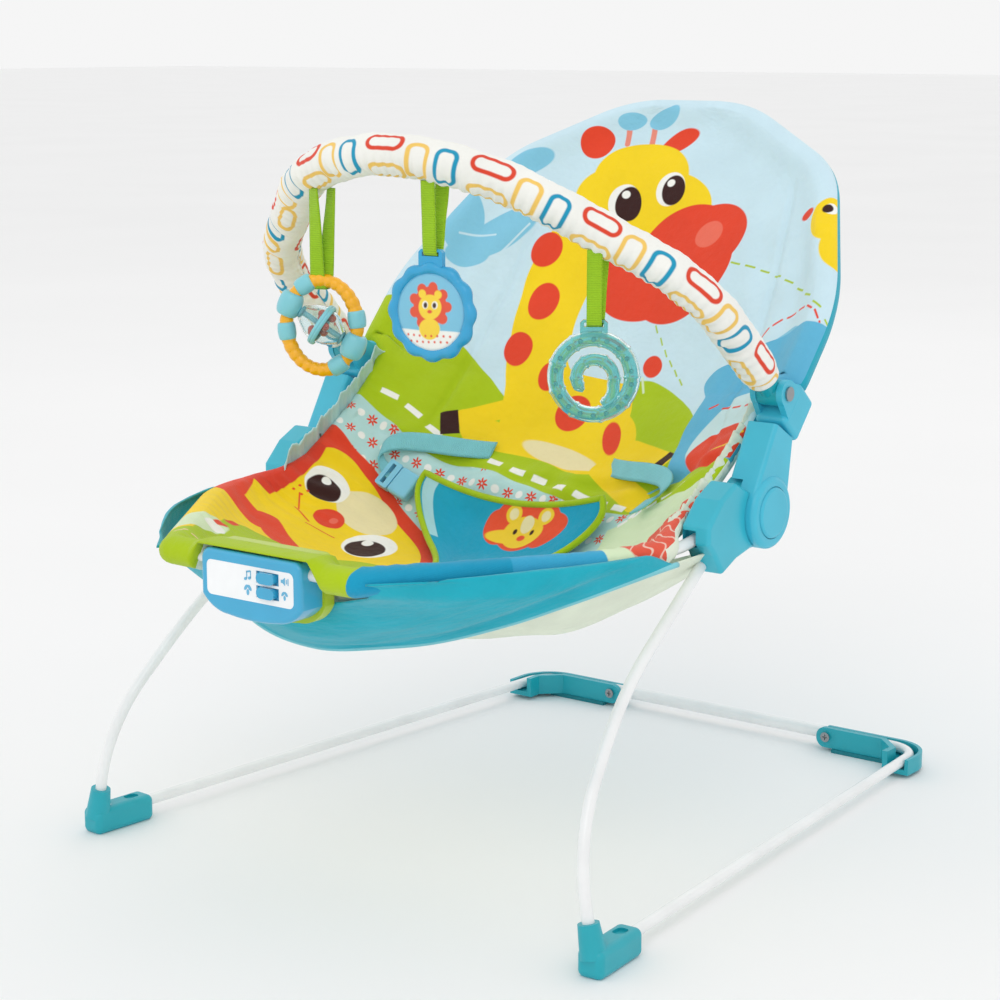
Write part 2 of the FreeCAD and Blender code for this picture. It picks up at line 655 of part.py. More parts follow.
def buckle_parts():
    """Socket at the pad's end and a two-pronged tongue on the webbing."""
    socket = box(-11, 11, -17, 1, -4.5, 4.5)
    socket = socket.makeFillet(2.5, socket.Edges)
    bay = box(-8.3, 8.3, -14, 5, -2.5, 2.5)
    prongs = box(-8, 8, -11, 1.5, -2.2, 2.2)
    prongs = prongs.cut(box(-4.0, 4.0, -12, -1, -12, 12))
    plate = box(-11, 11, 1.5, 13, -3.5, 3.5)
    plate = plate.makeFillet(1.6, [e for e in plate.Edges if abs(e.tangentAt(e.FirstParameter).z) > 0.9])
    plate = plate.cut(box(-8.5, 8.5, 6, 9.5, -12, 12))
    out = V(BUCKLE_OUT).normalize()
    across = out.cross(BUCKLE_FACE).normalize()
    face = across.cross(out)
    turned = FreeCAD.Matrix(across.x, out.x, face.x, BUCKLE_AT.x, across.y, out.y, face.y, BUCKLE_AT.y,
                            across.z, out.z, face.z, BUCKLE_AT.z, 0, 0, 0, 1)
    shapes = {"buckle_socket": socket.cut(bay), "buckle_tongue": prongs.fuse(plate)}
    for shape in shapes.values():
        shape.Placement = FreeCAD.Placement(turned)
    return shapes


# ---------------------------------------------------------------- music and vibration unit
def unit_outline(grow):
    """Straight top, rounded corners and a bottom that bows down."""
    half = UNIT_HALF + grow
    top = UNIT_TOP + grow
    side = UNIT_BOTTOM + 13
    low = UNIT_BOTTOM - grow
    corner = 7.0
    y = UNIT_FRONT
    edges = [
        Part.LineSegment(V(-half + corner, y, top), V(half - corner, y, top)).toShape(),
        Part.Arc(V(half - corner, y, top), V(half - 0.29 * corner, y, top - 0.29 * corner),
                 V(half, y, top - corner)).toShape(),
        Part.LineSegment(V(half, y, top - corner), V(half, y, side)).toShape(),
        Part.Arc(V(half, y, side), V(half - 7.5, y, low + 6.0), V(half - 22, y, low + 1.5)).toShape(),
        Part.Arc(V(half - 22, y, low + 1.5), V(0, y, low), V(-half + 22, y, low + 1.5)).toShape(),
        Part.Arc(V(-half + 22, y, low + 1.5), V(-half + 7.5, y, low + 6.0), V(-half, y, side)).toShape(),
        Part.LineSegment(V(-half, y, side), V(-half, y, top - corner)).toShape(),
        Part.Arc(V(-half, y, top - corner), V(-half + 0.29 * corner, y, top - 0.29 * corner),
                 V(-half + corner, y, top)).toShape(),
    ]
    return Part.Face(Part.Wire(edges))


def unit_block(grow, y0, y1):
    block = unit_outline(grow).extrude(V(0, y1 - y0, 0))
    block.translate(V(0, y0 - UNIT_FRONT, 0))
    return block


PANEL = box(-37.5, 37.0, UNIT_FRONT, UNIT_FRONT + 1.2, 218, 241)
SWITCHES = {"volume_switch": 235.0, "vibration_switch": 225.5}
SWITCH_X = 15.0
MOTOR_Y = -48.5
MOTOR_Z = 220.0


def unit_parts():
    front = unit_block(0, UNIT_FRONT, UNIT_SPLIT)
    edges = [e for e in front.Edges if abs(e.CenterOfMass.y - UNIT_FRONT) < 0.01]
    front = front.makeFillet(3.0, edges)
    front = front.cut(unit_block(-2.2, UNIT_FRONT + 2.2, UNIT_SPLIT))
    rear = unit_block(2.5, UNIT_SPLIT, UNIT_BACK)
    rear = rear.makeFillet(2.0, [e for e in rear.Edges if abs(e.CenterOfMass.y - UNIT_BACK) < 0.01])
    rear = rear.cut(unit_block(-2.2, UNIT_SPLIT, UNIT_BACK - 2.2))
    panel = PANEL.makeFillet(4.0, [e for e in PANEL.Edges if abs(e.tangentAt(e.FirstParameter).y) > 0.9])
    front = front.cut(panel)
    panel.translate(V(0, 0.1, 0))
    front = front.cut(panel)
    rods = seat_bar(ROD_R + FIT)
    front = front.cut(rods)
    door_gap = box(-30, 22, UNIT_BACK - 1.6, UNIT_BACK + 1, 208, 234)
    door = box(-29.8, 21.8, UNIT_BACK - 1.5, UNIT_BACK, 208.2, 233.8)
    rear = rear.cut(door_gap).cut(box(-27, 19, UNIT_BACK - 4, UNIT_BACK, 211, 231))
    parts = {}
    for name, z in SWITCHES.items():
        well = box(SWITCH_X - 9.6, SWITCH_X + 9.6, UNIT_FRONT - 1, UNIT_FRONT + 1.9, z - 3.9, z + 3.9)
        slot = box(SWITCH_X - 4.6, SWITCH_X + 4.6, UNIT_FRONT - 1, UNIT_FRONT + 3, z - 1.6, z + 1.6)
        panel = panel.cut(well)
        front = front.cut(slot).cut(well)
        knob = box(SWITCH_X - 7.4, SWITCH_X + 7.4, UNIT_FRONT - KNOB_PROUD, UNIT_FRONT + 1.8, z - 3.6, z + 3.6)
        ends = [e for e in knob.Edges if abs(e.tangentAt(e.FirstParameter).y) > 0.9]
        knob = knob.makeFillet(3.5, ends)
        stem = box(SWITCH_X - 2.4, SWITCH_X + 2.4, UNIT_FRONT + 1.0, UNIT_FRONT + 2.7, z - 1.4, z + 1.4)
        parts[name] = knob.fuse(stem)
    cells = [x_cylinder(5.2, -30, 14.5, MOTOR_Y, z) for z in (217.8, 228.6)]
    board = box(-34, 34, -65.9, -64.3, 216, 234)
    motor = x_cylinder(5.5, 17, 29, MOTOR_Y, MOTOR_Z).fuse(x_cylinder(1.0, 29, 36, MOTOR_Y, MOTOR_Z))
    weight = x_cylinder(4.8, 30.5, 35, MOTOR_Y, MOTOR_Z)
    weight = weight.common(box(30, 40, -60, -40, 205, MOTOR_Z))
    weight = weight.fuse(x_cylinder(2.2, 30.5, 35, MOTOR_Y, MOTOR_Z))
    weight = weight.cut(x_cylinder(1.0 + FIT, 30, 38, MOTOR_Y, MOTOR_Z))
    speaker = y_cylinder(6.0, -50, -44, 27, 232)
    screws = []
    for x in (-36, 36):
        for z in (222, 242):
            screws.append(y_cylinder(1.3, UNIT_BACK - 2.3, UNIT_BACK, x, z)
                          .fuse(y_cylinder(2.6, UNIT_BACK, UNIT_BACK + 1.2, x, z)))
            rear = rear.cut(y_cylinder(1.3, UNIT_BACK - 4, UNIT_BACK + 1, x, z))
    parts.update({"unit_front_case": front, "unit_rear_cover": rear, "unit_face_panel": panel,
                  "unit_battery_door": door, "unit_batteries": Part.makeCompound(cells),
                  "unit_circuit_board": board, "vibration_motor": motor, "motor_weight": weight,
                  "unit_speaker": speaker})
    return parts, screws


# ---------------------------------------------------------------- build

os.makedirs("parts", exist_ok=True)
export_pair("leg_rod", leg_bar(ROD_R))
export("rear_cross_tube", rear_cross_tube())
export_pair("front_foot", front_foot())
export_pair("rear_bracket", rear_bracket())
export("rear_foot_pads", rear_pads())
export("rear_bracket_screws", bracket_screws())

hub_inner, hub_outer = split_hub()
export_pair("hub_inner_shell", hub_inner)
export_pair("hub_outer_shell", hub_outer)
export("pivot_bolts", pivot_bolts())
export_pair("recline_button", recline_button())
arm = recline_arm()
arm_inner_half, arm_outer_half = arm_half_spaces()
export_pair("recline_arm_inner", arm.common(arm_inner_half))
export_pair("recline_arm_outer", arm.common(arm_outer_half))

export("backrest_tube", back_bar(BACK_TUBE_R).cut(back_bar(BACK_TUBE_R - 1.2)))
export("backrest_roll", backrest_roll())
export("backrest_pad", backrest_pad())
export_pair("toy_bar_collar", toy_bar_collar())

export("toy_bar_rod", toy_bar(BAR_ROD_R, 12))
export("toy_bar_sleeve", toy_bar(SLEEVE_R, SLEEVE_START).cut(toy_bar(BAR_ROD_R + 0.3, 12)))
export("toy_bar_plugs", bar_plugs())
export("toy_bar_pins", bar_pins())

for toy in TOYS:
    export(toy + "_loop", webbing_loop(toy))
for node, shape in rattle_parts().items():
    export(node, placed(shape, "rattle"))
for node, shape in disc_parts().items():
    export(node, placed(shape, "disc"))
export("teether_ring", placed(teether(), "teether"))

export("seat_rod", seat_bar(ROD_R))
export("seat_rolls", Part.makeCompound([seat_rolls(), mirrored(seat_rolls())]))
export("seat_pad", seat_pad())
export("seat_wings", Part.makeCompound([seat_wing(), mirrored(seat_wing())]))
export("underside_pocket", underside_pocket())
export("crotch_pad", crotch_pad())
export("waist_straps", Part.makeCompound([waist_strap(), mirrored(waist_strap())]))
for node, shape in buckle_parts().items():
    export(node, shape)
unit_nodes, unit_screws = unit_parts()
for node, shape in unit_nodes.items():
    export(node, shape)
hub_screws = hub_screw_set()
case_screws = unit_screws + hub_screws + [mirrored(screw) for screw in hub_screws]
export("case_screws", Part.makeCompound(case_screws))
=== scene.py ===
import math

import bmesh
import bpy
import numpy as np
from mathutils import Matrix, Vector
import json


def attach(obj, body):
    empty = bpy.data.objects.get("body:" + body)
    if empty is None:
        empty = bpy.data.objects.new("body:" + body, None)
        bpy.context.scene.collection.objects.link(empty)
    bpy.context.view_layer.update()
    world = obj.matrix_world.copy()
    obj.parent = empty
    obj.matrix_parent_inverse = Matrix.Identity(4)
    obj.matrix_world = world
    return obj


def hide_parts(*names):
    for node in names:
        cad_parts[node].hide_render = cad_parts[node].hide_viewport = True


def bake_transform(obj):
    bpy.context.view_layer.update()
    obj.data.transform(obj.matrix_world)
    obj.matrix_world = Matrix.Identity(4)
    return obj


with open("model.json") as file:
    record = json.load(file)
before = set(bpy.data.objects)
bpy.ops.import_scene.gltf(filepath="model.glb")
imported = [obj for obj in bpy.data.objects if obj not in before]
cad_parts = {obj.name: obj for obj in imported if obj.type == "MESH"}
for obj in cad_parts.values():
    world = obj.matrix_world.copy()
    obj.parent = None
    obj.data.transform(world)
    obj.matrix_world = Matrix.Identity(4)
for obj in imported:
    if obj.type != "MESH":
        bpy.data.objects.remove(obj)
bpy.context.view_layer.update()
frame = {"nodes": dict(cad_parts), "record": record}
JOINTS = {joint["name"]: joint for joint in frame["record"]["behaviour"]["joints"]}
PIVOT = np.array(JOINTS["recline"]["pos_m"])
FOOT_Y = PIVOT[1] - 0.228        # plane of the two front feet
DISC_RADIUS = 25.6               # of the hanging disc, in millimetres


# ---------------------------------------------------------------- geometry helpers
def at(x, y, z):
    """Millimetres, with y counted from the front feet, to metres in the row frame."""
    return np.array([x * 0.001, FOOT_Y + y * 0.001, z * 0.001])


def row_metres(points):
    """Millimetres, with y counted from the front feet, to metres in the row frame."""
    metres = points * 0.001
    metres[..., 1] += FOOT_Y
    return metres


def circle(count):
    """Evenly spaced angles once round."""
    return np.linspace(0, 2 * math.pi, count, endpoint=False)


def smooth_line(points, count, rounds=3):
    """Evenly spaced points on a smooth curve near a few control points (Chaikin corners cut)."""
    line = np.array(points, float)
    for _ in range(rounds):
        inner = np.empty((2 * (len(line) - 1), line.shape[1]))
        inner[0::2] = 0.75 * line[:-1] + 0.25 * line[1:]
        inner[1::2] = 0.25 * line[:-1] + 0.75 * line[1:]
        line = np.vstack([line[:1], inner, line[-1:]])
    return resample(line, count)


def lengths(line):
    steps = np.linalg.norm(np.diff(line[:, :3], axis=0), axis=1)
    return np.concatenate([[0.0], np.cumsum(steps)])


def resample(line, count):
    run = lengths(line)
    places = np.linspace(0, run[-1], count)
    return np.column_stack([np.interp(places, run, line[:, k]) for k in range(line.shape[1])])


def bump(x, centre, width):
    return np.exp(-((x - centre) / width) ** 2)


def ease(x, low, high):
    t = np.clip((x - low) / (high - low), 0, 1)
    return t * t * (3 - 2 * t)


def grid_normals(grid):
    du = np.gradient(grid, axis=1)
    dv = np.gradient(grid, axis=0)
    normal = np.cross(du, dv)
    return normal / np.maximum(np.linalg.norm(normal, axis=2, keepdims=True), 1e-12)


def object_from(name, verts, faces, uvs=None, smooth=True):
    mesh = bpy.data.meshes.new(name)
    mesh.from_pydata([tuple(v) for v in verts], [], [tuple(f) for f in faces])
    if uvs is not None:
        layer = mesh.uv_layers.new(name="cloth")
        loops = np.empty(len(mesh.loops), int)
        mesh.loops.foreach_get("vertex_index", loops)
        layer.data.foreach_set("uv", np.asarray(uvs, np.float32)[loops].ravel())
    if smooth:
        mesh.polygons.foreach_set("use_smooth", [True] * len(mesh.polygons))
    mesh.update()
    obj = bpy.data.objects.new(name, mesh)
    bpy.context.scene.collection.objects.link(obj)
    return obj


def grid_faces(rows, cols, start=0, flip=False, wrap=False):
    faces = []
    last = cols if wrap else cols - 1
    for i in range(rows - 1):
        for j in range(last):
            k = (j + 1) % cols
            a, b = start + i * cols + j, start + i * cols + k
            c, d = a + cols, b + cols
            faces.append((a, c, d, b) if flip else (a, b, d, c))
    return faces


def padded_sheet(name, top, thickness, uv):
    """Closed pad: the top grid, a lower grid under it and a wall round the edge."""
    rows, cols = top.shape[:2]
    below = top - grid_normals(top) * thickness[..., None]
    verts = np.vstack([top.reshape(-1, 3), below.reshape(-1, 3)])
    count = rows * cols
    faces = grid_faces(rows, cols) + grid_faces(rows, cols, count, flip=True)
    top_faces = (rows - 1) * (cols - 1)
    rim = [j for j in range(cols)] + [i * cols + cols - 1 for i in range(1, rows)]
    rim += [(rows - 1) * cols + j for j in range(cols - 2, -1, -1)]
    rim += [i * cols for i in range(rows - 2, 0, -1)]
    for a, b in zip(rim, rim[1:] + rim[:1]):
        faces.append((b, a, a + count, b + count))
    uvs = np.vstack([uv.reshape(-1, 2)] * 2)
    obj = object_from(name, verts, faces, uvs)
    under = np.zeros(len(faces), np.int32)
    under[top_faces:] = 1
    obj.data.polygons.foreach_set("material_index", under)
    return obj


def frames_along(line, up=(0, 0, 1)):
    """Tangent, side and normal at each point of a line, turned as little as possible."""
    tangent = np.gradient(line, axis=0)
    tangent /= np.linalg.norm(tangent, axis=1, keepdims=True)
    side = np.cross(tangent[0], up)
    side /= np.linalg.norm(side)
    sides = []
    for t in tangent:
        side = side - t * np.dot(side, t)
        side /= np.linalg.norm(side)
        sides.append(side)
    sides = np.array(sides)
    return tangent, sides, np.cross(sides, tangent)


def tube_grid(line, radius, around, up=(0, 0, 1)):
    """Ring points round a line; radius is a number or an array (points, around)."""
    _, side, normal = frames_along(line, up)
    turn = circle(around)
    radius = np.broadcast_to(radius, (len(line), around))[..., None]
    ring = np.cos(turn)[None, :, None] * side[:, None] + np.sin(turn)[None, :, None] * normal[:, None]
    return line[:, None] + ring * radius


def tube_object(name, grid, uv=None):
    """Closed tube: the ring grid with both ends capped."""
    rows, cols = grid.shape[:2]
    faces = grid_faces(rows, cols, wrap=True)
    faces.append(tuple(range(cols - 1, -1, -1)))
    faces.append(tuple((rows - 1) * cols + j for j in range(cols)))
    uvs = None if uv is None else uv.reshape(-1, 2)
    return object_from(name, grid.reshape(-1, 3), faces, uvs)


def add_piece(obj, body, material, replaces=()):
    for item in material if isinstance(material, (list, tuple)) else [material]:
        obj.data.materials.append(item)
    if replaces:
        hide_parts(*replaces)
    if body:
        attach(obj, body)
    return obj


# ---------------------------------------------------------------- material helpers
def linear(code):
    """An sRGB hex colour as linear RGBA."""
    parts = [int(code[i:i + 2], 16) / 255 for i in (1, 3, 5)]
    return tuple([((c + 0.055) / 1.055) ** 2.4 if c > 0.04 else c / 12.92 for c in parts] + [1.0])


class Paint:
    """Builds a procedural material: flat shapes painted over each other, then a surface finish."""

    def __init__(self, name, base="#FFFFFF"):
        self.material = bpy.data.materials.new(name)
        self.material.use_nodes = True
        self.tree = self.material.node_tree
        self.shader = self.tree.nodes["Principled BSDF"]
        self.color = None
        self.base = linear(base)
        self.shader.inputs["Base Color"].default_value = self.base

    def node(self, kind, **settings):
        node = self.tree.nodes.new(kind)
        for key, value in settings.items():
            setattr(node, key, value)
        return node

    def put(self, socket, value):
        if isinstance(value, bpy.types.NodeSocket):
            self.tree.links.new(value, socket)
        else:
            socket.default_value = value

    def math(self, operation, *values, clamp=False):
        node = self.node("ShaderNodeMath", operation=operation, use_clamp=clamp)
        for socket, value in zip(node.inputs, values):
            self.put(socket, value)
        return node.outputs[0]

    def uv(self):
        return self.node("ShaderNodeUVMap", uv_map="cloth").outputs[0]

    def object_space(self):
        return self.node("ShaderNodeTexCoord").outputs["Object"]

    def wobble(self, vector, size, amount):
        """Shift a coordinate by soft noise, so that edges look hand drawn."""
        noise = self.node("ShaderNodeTexNoise")
        noise.inputs["Scale"].default_value = 1.0 / size
        noise.inputs["Detail"].default_value = 0.0
        self.put(noise.inputs["Vector"], vector)
        offset = self.node("ShaderNodeVectorMath", operation="MULTIPLY_ADD")
        self.put(offset.inputs[0], noise.outputs["Color"])
        offset.inputs[1].default_value = (amount, amount, 0)
        half = -0.5 * amount
        offset.inputs[2].default_value = (half, half, 0)
        add = self.node("ShaderNodeVectorMath", operation="ADD")
        self.put(add.inputs[0], vector)
        self.put(add.inputs[1], offset.outputs[0])
        return add.outputs[0]

    def local(self, vector, x, y, turn=0.0, sx=1.0, sy=1.0):
        """Coordinates centred on (x, y), turned, and divided by the two radii."""
        node = self.node("ShaderNodeMapping", vector_type="TEXTURE")
        self.put(node.inputs["Vector"], vector)
        node.inputs["Location"].default_value = (x, y, 0)
        node.inputs["Rotation"].default_value = (0, 0, math.radians(turn))
        node.inputs["Scale"].default_value = (sx, sy, 1)
        return node.outputs[0]

    def split(self, vector):
        node = self.node("ShaderNodeSeparateXYZ")
        self.put(node.inputs[0], vector)
        return node.outputs[0], node.outputs[1]

    def below(self, value, limit, soft=0.0006):
        """1 where value is under limit, with a thin soft edge."""
        node = self.node("ShaderNodeMapRange", clamp=True)
        self.put(node.inputs["Value"], value)
        if isinstance(limit, bpy.types.NodeSocket):
            return self.below(self.math("SUBTRACT", value, limit), 0.0, soft)
        node.inputs["From Min"].default_value = limit + soft
        node.inputs["From Max"].default_value = limit - soft
        node.inputs["To Min"].default_value = 0.0
        node.inputs["To Max"].default_value = 1.0
        return node.outputs[0]

    def length(self, vector):
        node = self.node("ShaderNodeVectorMath", operation="LENGTH")
        self.put(node.inputs[0], vector)
        return node.outputs["Value"]

    def ellipse(self, vector, x, y, rx, ry, turn=0.0):
        spot = self.local(vector, x, y, turn, rx, ry)
        return self.below(self.length(spot), 1.0, 0.0006 / min(rx, ry))

    def capsule(self, vector, x, y, half, radius, turn=0.0):
        """A straight stroke with round ends."""
        a, b = self.split(self.local(vector, x, y, turn))
        over = self.math("MAXIMUM", self.math("SUBTRACT", self.math("ABSOLUTE", a), half), 0.0)
        square = self.math("ADD", self.math("MULTIPLY", over, over), self.math("MULTIPLY", b, b))
        return self.below(self.math("SQRT", square), radius)

    def slab(self, vector, x, y, hx, hy, turn=0.0):
        a, b = self.split(self.local(vector, x, y, turn))
        inside_a = self.below(self.math("ABSOLUTE", a), hx)
        return self.math("MULTIPLY", inside_a, self.below(self.math("ABSOLUTE", b), hy))

    def curve(self, value, points, x_range, y_range):
        """A smooth function of one coordinate through a few points, both in metres."""
        x0, x1 = x_range
        y0, y1 = y_range
        scaled = self.node("ShaderNodeMapRange", clamp=True)
        self.put(scaled.inputs["Value"], value)
        scaled.inputs["From Min"].default_value = x0
        scaled.inputs["From Max"].default_value = x1
        node = self.node("ShaderNodeFloatCurve")
        self.put(node.inputs["Value"], scaled.outputs[0])
        line = node.mapping.curves[0]
        wanted = [((x - x0) / (x1 - x0), (y - y0) / (y1 - y0)) for x, y in points]
        line.points[0].location = wanted[0]
        line.points[1].location = wanted[-1]
        for place in wanted[1:-1]:
            line.points.new(*place)
        node.mapping.update()
        back = self.node("ShaderNodeMapRange", clamp=False)
        self.put(back.inputs["Value"], node.outputs[0])
        back.inputs["To Min"].default_value = y0
        back.inputs["To Max"].default_value = y1
        return back.outputs[0]

    def blob(self, vector, x, y, radii, turn=0.0):
        """A rounded shape whose radius follows a closed list of radii, counter-clockwise."""
        spot = self.local(vector, x, y, turn)
        a, b = self.split(spot)
        angle = self.math("ARCTAN2", b, a)
        steps = len(radii)
        points = [(-math.pi + 2 * math.pi * i / steps, radii[i % steps]) for i in range(steps + 1)]
        top = max(radii) * 1.1
        edge = self.curve(angle, points, (-math.pi, math.pi), (0.0, top))
        return self.below(self.length(spot), edge)

    def both(self, *masks):
        out = masks[0]
        for mask in masks[1:]:
            out = self.math("MULTIPLY", out, mask)
        return out

    def either(self, *masks):
        out = masks[0]
        for mask in masks[1:]:
            out = self.math("MAXIMUM", out, mask)
        return out

    def fill(self, color, mask):
        """Paint a colour over what is there so far, where the mask is 1."""
        node = self.node("ShaderNodeMix", data_type="RGBA")
        self.put(node.inputs["Factor"], mask)
        self.put(node.inputs["A"], self.color if self.color is not None else self.base)
        self.put(node.inputs["B"], linear(color) if isinstance(color, str) else color)
        self.color = node.outputs["Result"]
        self.put(self.shader.inputs["Base Color"], self.color)

    def vary(self, vector, size, amount):
        """Slight lightness variation over the surface."""
        noise = self.node("ShaderNodeTexNoise")
        noise.inputs["Scale"].default_value = 1.0 / size
        noise.inputs["Detail"].default_value = 3.0
        self.put(noise.inputs["Vector"], vector)
        level = self.node("ShaderNodeMapRange")
        self.put(level.inputs["Value"], noise.outputs["Fac"])
        level.inputs["From Min"].default_value = 0.3
        level.inputs["From Max"].default_value = 0.7
        level.inputs["To Min"].default_value = 1.0 - amount
        level.inputs["To Max"].default_value = 1.0 + amount
        node = self.node("ShaderNodeVectorMath", operation="SCALE")
        self.put(node.inputs[0], self.color if self.color is not None else self.base[:3])
        self.put(node.inputs["Scale"], level.outputs[0])
        self.color = node.outputs[0]
        self.put(self.shader.inputs["Base Color"], self.color)

    def bump(self, height, distance, strength=1.0, normal=None):
        node = self.node("ShaderNodeBump")
        node.inputs["Strength"].default_value = strength
        node.inputs["Distance"].default_value = distance
        self.put(node.inputs["Height"], height)
        if normal is not None:
            self.put(node.inputs["Normal"], normal)
        self.put(self.shader.inputs["Normal"], node.outputs[0])
        return node.outputs[0]

    def weave(self, vector, pitch=0.0009, depth=0.0002, soft=0.008):
        """Plain woven cloth: threads crossing over and under, with slight puckers."""
        a, b = self.split(vector)
        turn = 2 * math.pi / pitch
        warp = self.math("SINE", self.math("MULTIPLY", a, turn))
        weft = self.math("SINE", self.math("MULTIPLY", b, turn))
        threads = self.math("MULTIPLY", warp, weft)
        noise = self.node("ShaderNodeTexNoise")
        noise.inputs["Scale"].default_value = 1.0 / soft
        noise.inputs["Detail"].default_value = 2.0
        self.put(noise.inputs["Vector"], vector)
        first = self.bump(noise.outputs["Fac"], 0.0016, 0.5)
        self.bump(threads, depth, 0.35, first)

    def cloth(self, roughness=0.8, sheen=0.25):
        self.shader.inputs["Roughness"].default_value = roughness
        self.shader.inputs["Sheen Weight"].default_value = sheen
        self.shader.inputs["Sheen Roughness"].default_value = 0.5
        self.shader.inputs["Specular IOR Level"].default_value = 0.25

    def plastic(self, roughness=0.35, coat=0.0, grain=0.0004):
        self.shader.inputs["Roughness"].default_value = roughness
        self.shader.inputs["Coat Weight"].default_value = coat
        self.shader.inputs["Coat Roughness"].default_value = 0.15
        place = self.object_space()
        noise = self.node("ShaderNodeTexNoise")
        noise.inputs["Scale"].default_value = 1.0 / grain
        noise.inputs["Detail"].default_value = 2.0
        self.put(noise.inputs["Vector"], place)
        self.bump(noise.outputs["Fac"], 0.00004, 0.5)
        self.vary(place, 0.03, 0.04)


def plastic(name, code, roughness=0.35, coat=0.1, grain=0.0004):
    paint = Paint(name, code)
    paint.plastic(roughness, coat, grain)
    return paint


def plain_cloth(name, code, pitch=0.0009, use_uv=True):
    paint = Paint(name, code)
    vector = paint.uv() if use_uv else paint.object_space()
    paint.weave(vector, pitch)
    paint.vary(vector, 0.03, 0.06)
    paint.cloth()
    return paint.material


# ---------------------------------------------------------------- frame lines
def rod_line(points, bends, step=4.0):
    """Straight runs joined by tangent arcs, in the units of the points."""
    points = np.array(points, float)
    line = [points[0]]
    for before, here, after, radius in zip(points, points[1:], points[2:], bends):
        into = (here - before) / np.linalg.norm(here - before)
        out = (after - here) / np.linalg.norm(after - here)
        half = math.acos(np.clip(into @ out, -1, 1)) / 2
        reach = radius * math.tan(half)
        centre = here + (out - into) / np.linalg.norm(out - into) * radius / math.cos(half)
        start = here - into * reach - centre
        end = here + out * reach - centre
        count = max(3, int(2 * half * radius / step))
        for t in np.linspace(0, 1, count + 1):
            angle = 2 * half * t
            line.append(centre + (start * math.sin(2 * half - angle) + end * math.sin(angle))
                        / math.sin(2 * half))
    line.append(points[-1])
    return np.array(line)


BACK_TURN = math.radians(48.4)
UP_BACK = np.array([0, math.cos(BACK_TURN), math.sin(BACK_TURN)])
OFF_BACK = np.array([0, -math.sin(BACK_TURN), math.cos(BACK_TURN)])
BAR_TURN = math.radians(137.75)
UP_BAR = np.array([0, math.cos(BAR_TURN), math.sin(BAR_TURN)])


def on_back(x, s, n=0.0):
    return np.array([x, 262.0, 313.0]) + UP_BACK * s + OFF_BACK * n


def on_bar(x, t):
    return np.array([x, 248.2, 330.6]) + UP_BAR * t


seat_side = rod_line([(78, -58, 239), (182, 92, 239), (182, 150, 239)], [120])
back_side = rod_line([on_back(188, 26), on_back(188, 92), on_back(142, 206), on_back(50, 262),
                      on_back(0, 262)],
                     [150, 70, 100])
seat_side = seat_side[seat_side[:, 1] < 124]
WING = np.array([(180.5, 134, 241.5), (173, 148, 246), (169.5, 163, 251), (169, 177, 256), (169, 194, 266),
                 (169, 212, 277), (169, 230, 289), (169.5, 248, 303), (170.5, 262, 316), (173, 271, 325),
                 (180, 277, 330.5)])
back_side = back_side[back_side[:, 0] > 25]
side_line = np.vstack([seat_side, WING, back_side])
side_radius = np.concatenate([np.full(len(seat_side), 9.6), [8.5, 6.5, 5, 4.5, 4.5, 4.5, 4.5, 4.5, 5, 6.5,
                                                             8.5],
                              np.full(len(back_side), 10.5)])

CENTRE = [(-58, 239), (-38, 229), (0, 213), (45, 202), (100, 193), (150, 188), (182, 190), (205, 202),
          (222, 224),
          (243, 247)]
BACK_SAG = [(-34, 37), (0, 38), (40, 36), (70, 34), (104, 30), (137, 24), (161, 19), (188, 14),
            (215, 9), (235, 5), (262, 0)]
centre_line = [(0.0, y, z) for y, z in CENTRE]
for s, sag in BACK_SAG:
    centre_line.append(tuple(on_back(0, s, -sag)))
centre_line = smooth_line(centre_line, 400, 2)

ROWS, COLS, ROLL = ((230, 170, 10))
EDGE = 13.0         # width of the rolled edge, in millimetres


def match_rows():
    """Pair the side line with the centre line so that the rows cross the seat evenly."""
    side_run = lengths(side_line)
    centre_run = lengths(centre_line)
    side_marks = [0, side_run[len(seat_side) - 1], side_run[len(seat_side) + 8], side_run[-1]]
    knee = np.argmin(np.abs(centre_line[:, 1] - 140))
    seam = np.argmin(np.abs(centre_line[:, 2] - 285))
    centre_marks = [0, centre_run[knee], centre_run[seam], centre_run[-1]]
    shares = np.linspace(0, 1, ROWS)
    shares = shares + 0.035 * np.sin(math.pi * shares) * ease(shares, 0.6, 1.0)
    shares = np.clip(shares, 0, 1)
    even = 0.5 * (np.array(side_marks) / side_run[-1] + np.array(centre_marks) / centre_run[-1])
    side_at = np.interp(shares, even, side_marks)
    centre_at = np.interp(shares, even, centre_marks)
    pick = lambda run, line, at: np.column_stack([np.interp(at, run, line[:, k]) for k in range(3)])
    return (pick(side_run, side_line, side_at), pick(centre_run, centre_line, centre_at),
            np.interp(side_at, side_run, side_radius), side_at, centre_at)


rng = np.random.default_rng(11)


def soft_noise(a, b, size, count=14):
    """Smooth random field of about unit height; size is its typical feature size."""
    total = np.zeros_like(a)
    for _ in range(count):
        turn = rng.uniform(0, 2 * math.pi)
        wave = 2 * math.pi / (size * rng.uniform(0.7, 1.8))
        total += np.sin(wave * (a * math.cos(turn) + b * math.sin(turn)) + rng.uniform(0, 6.28))
    return total / math.sqrt(count / 2)


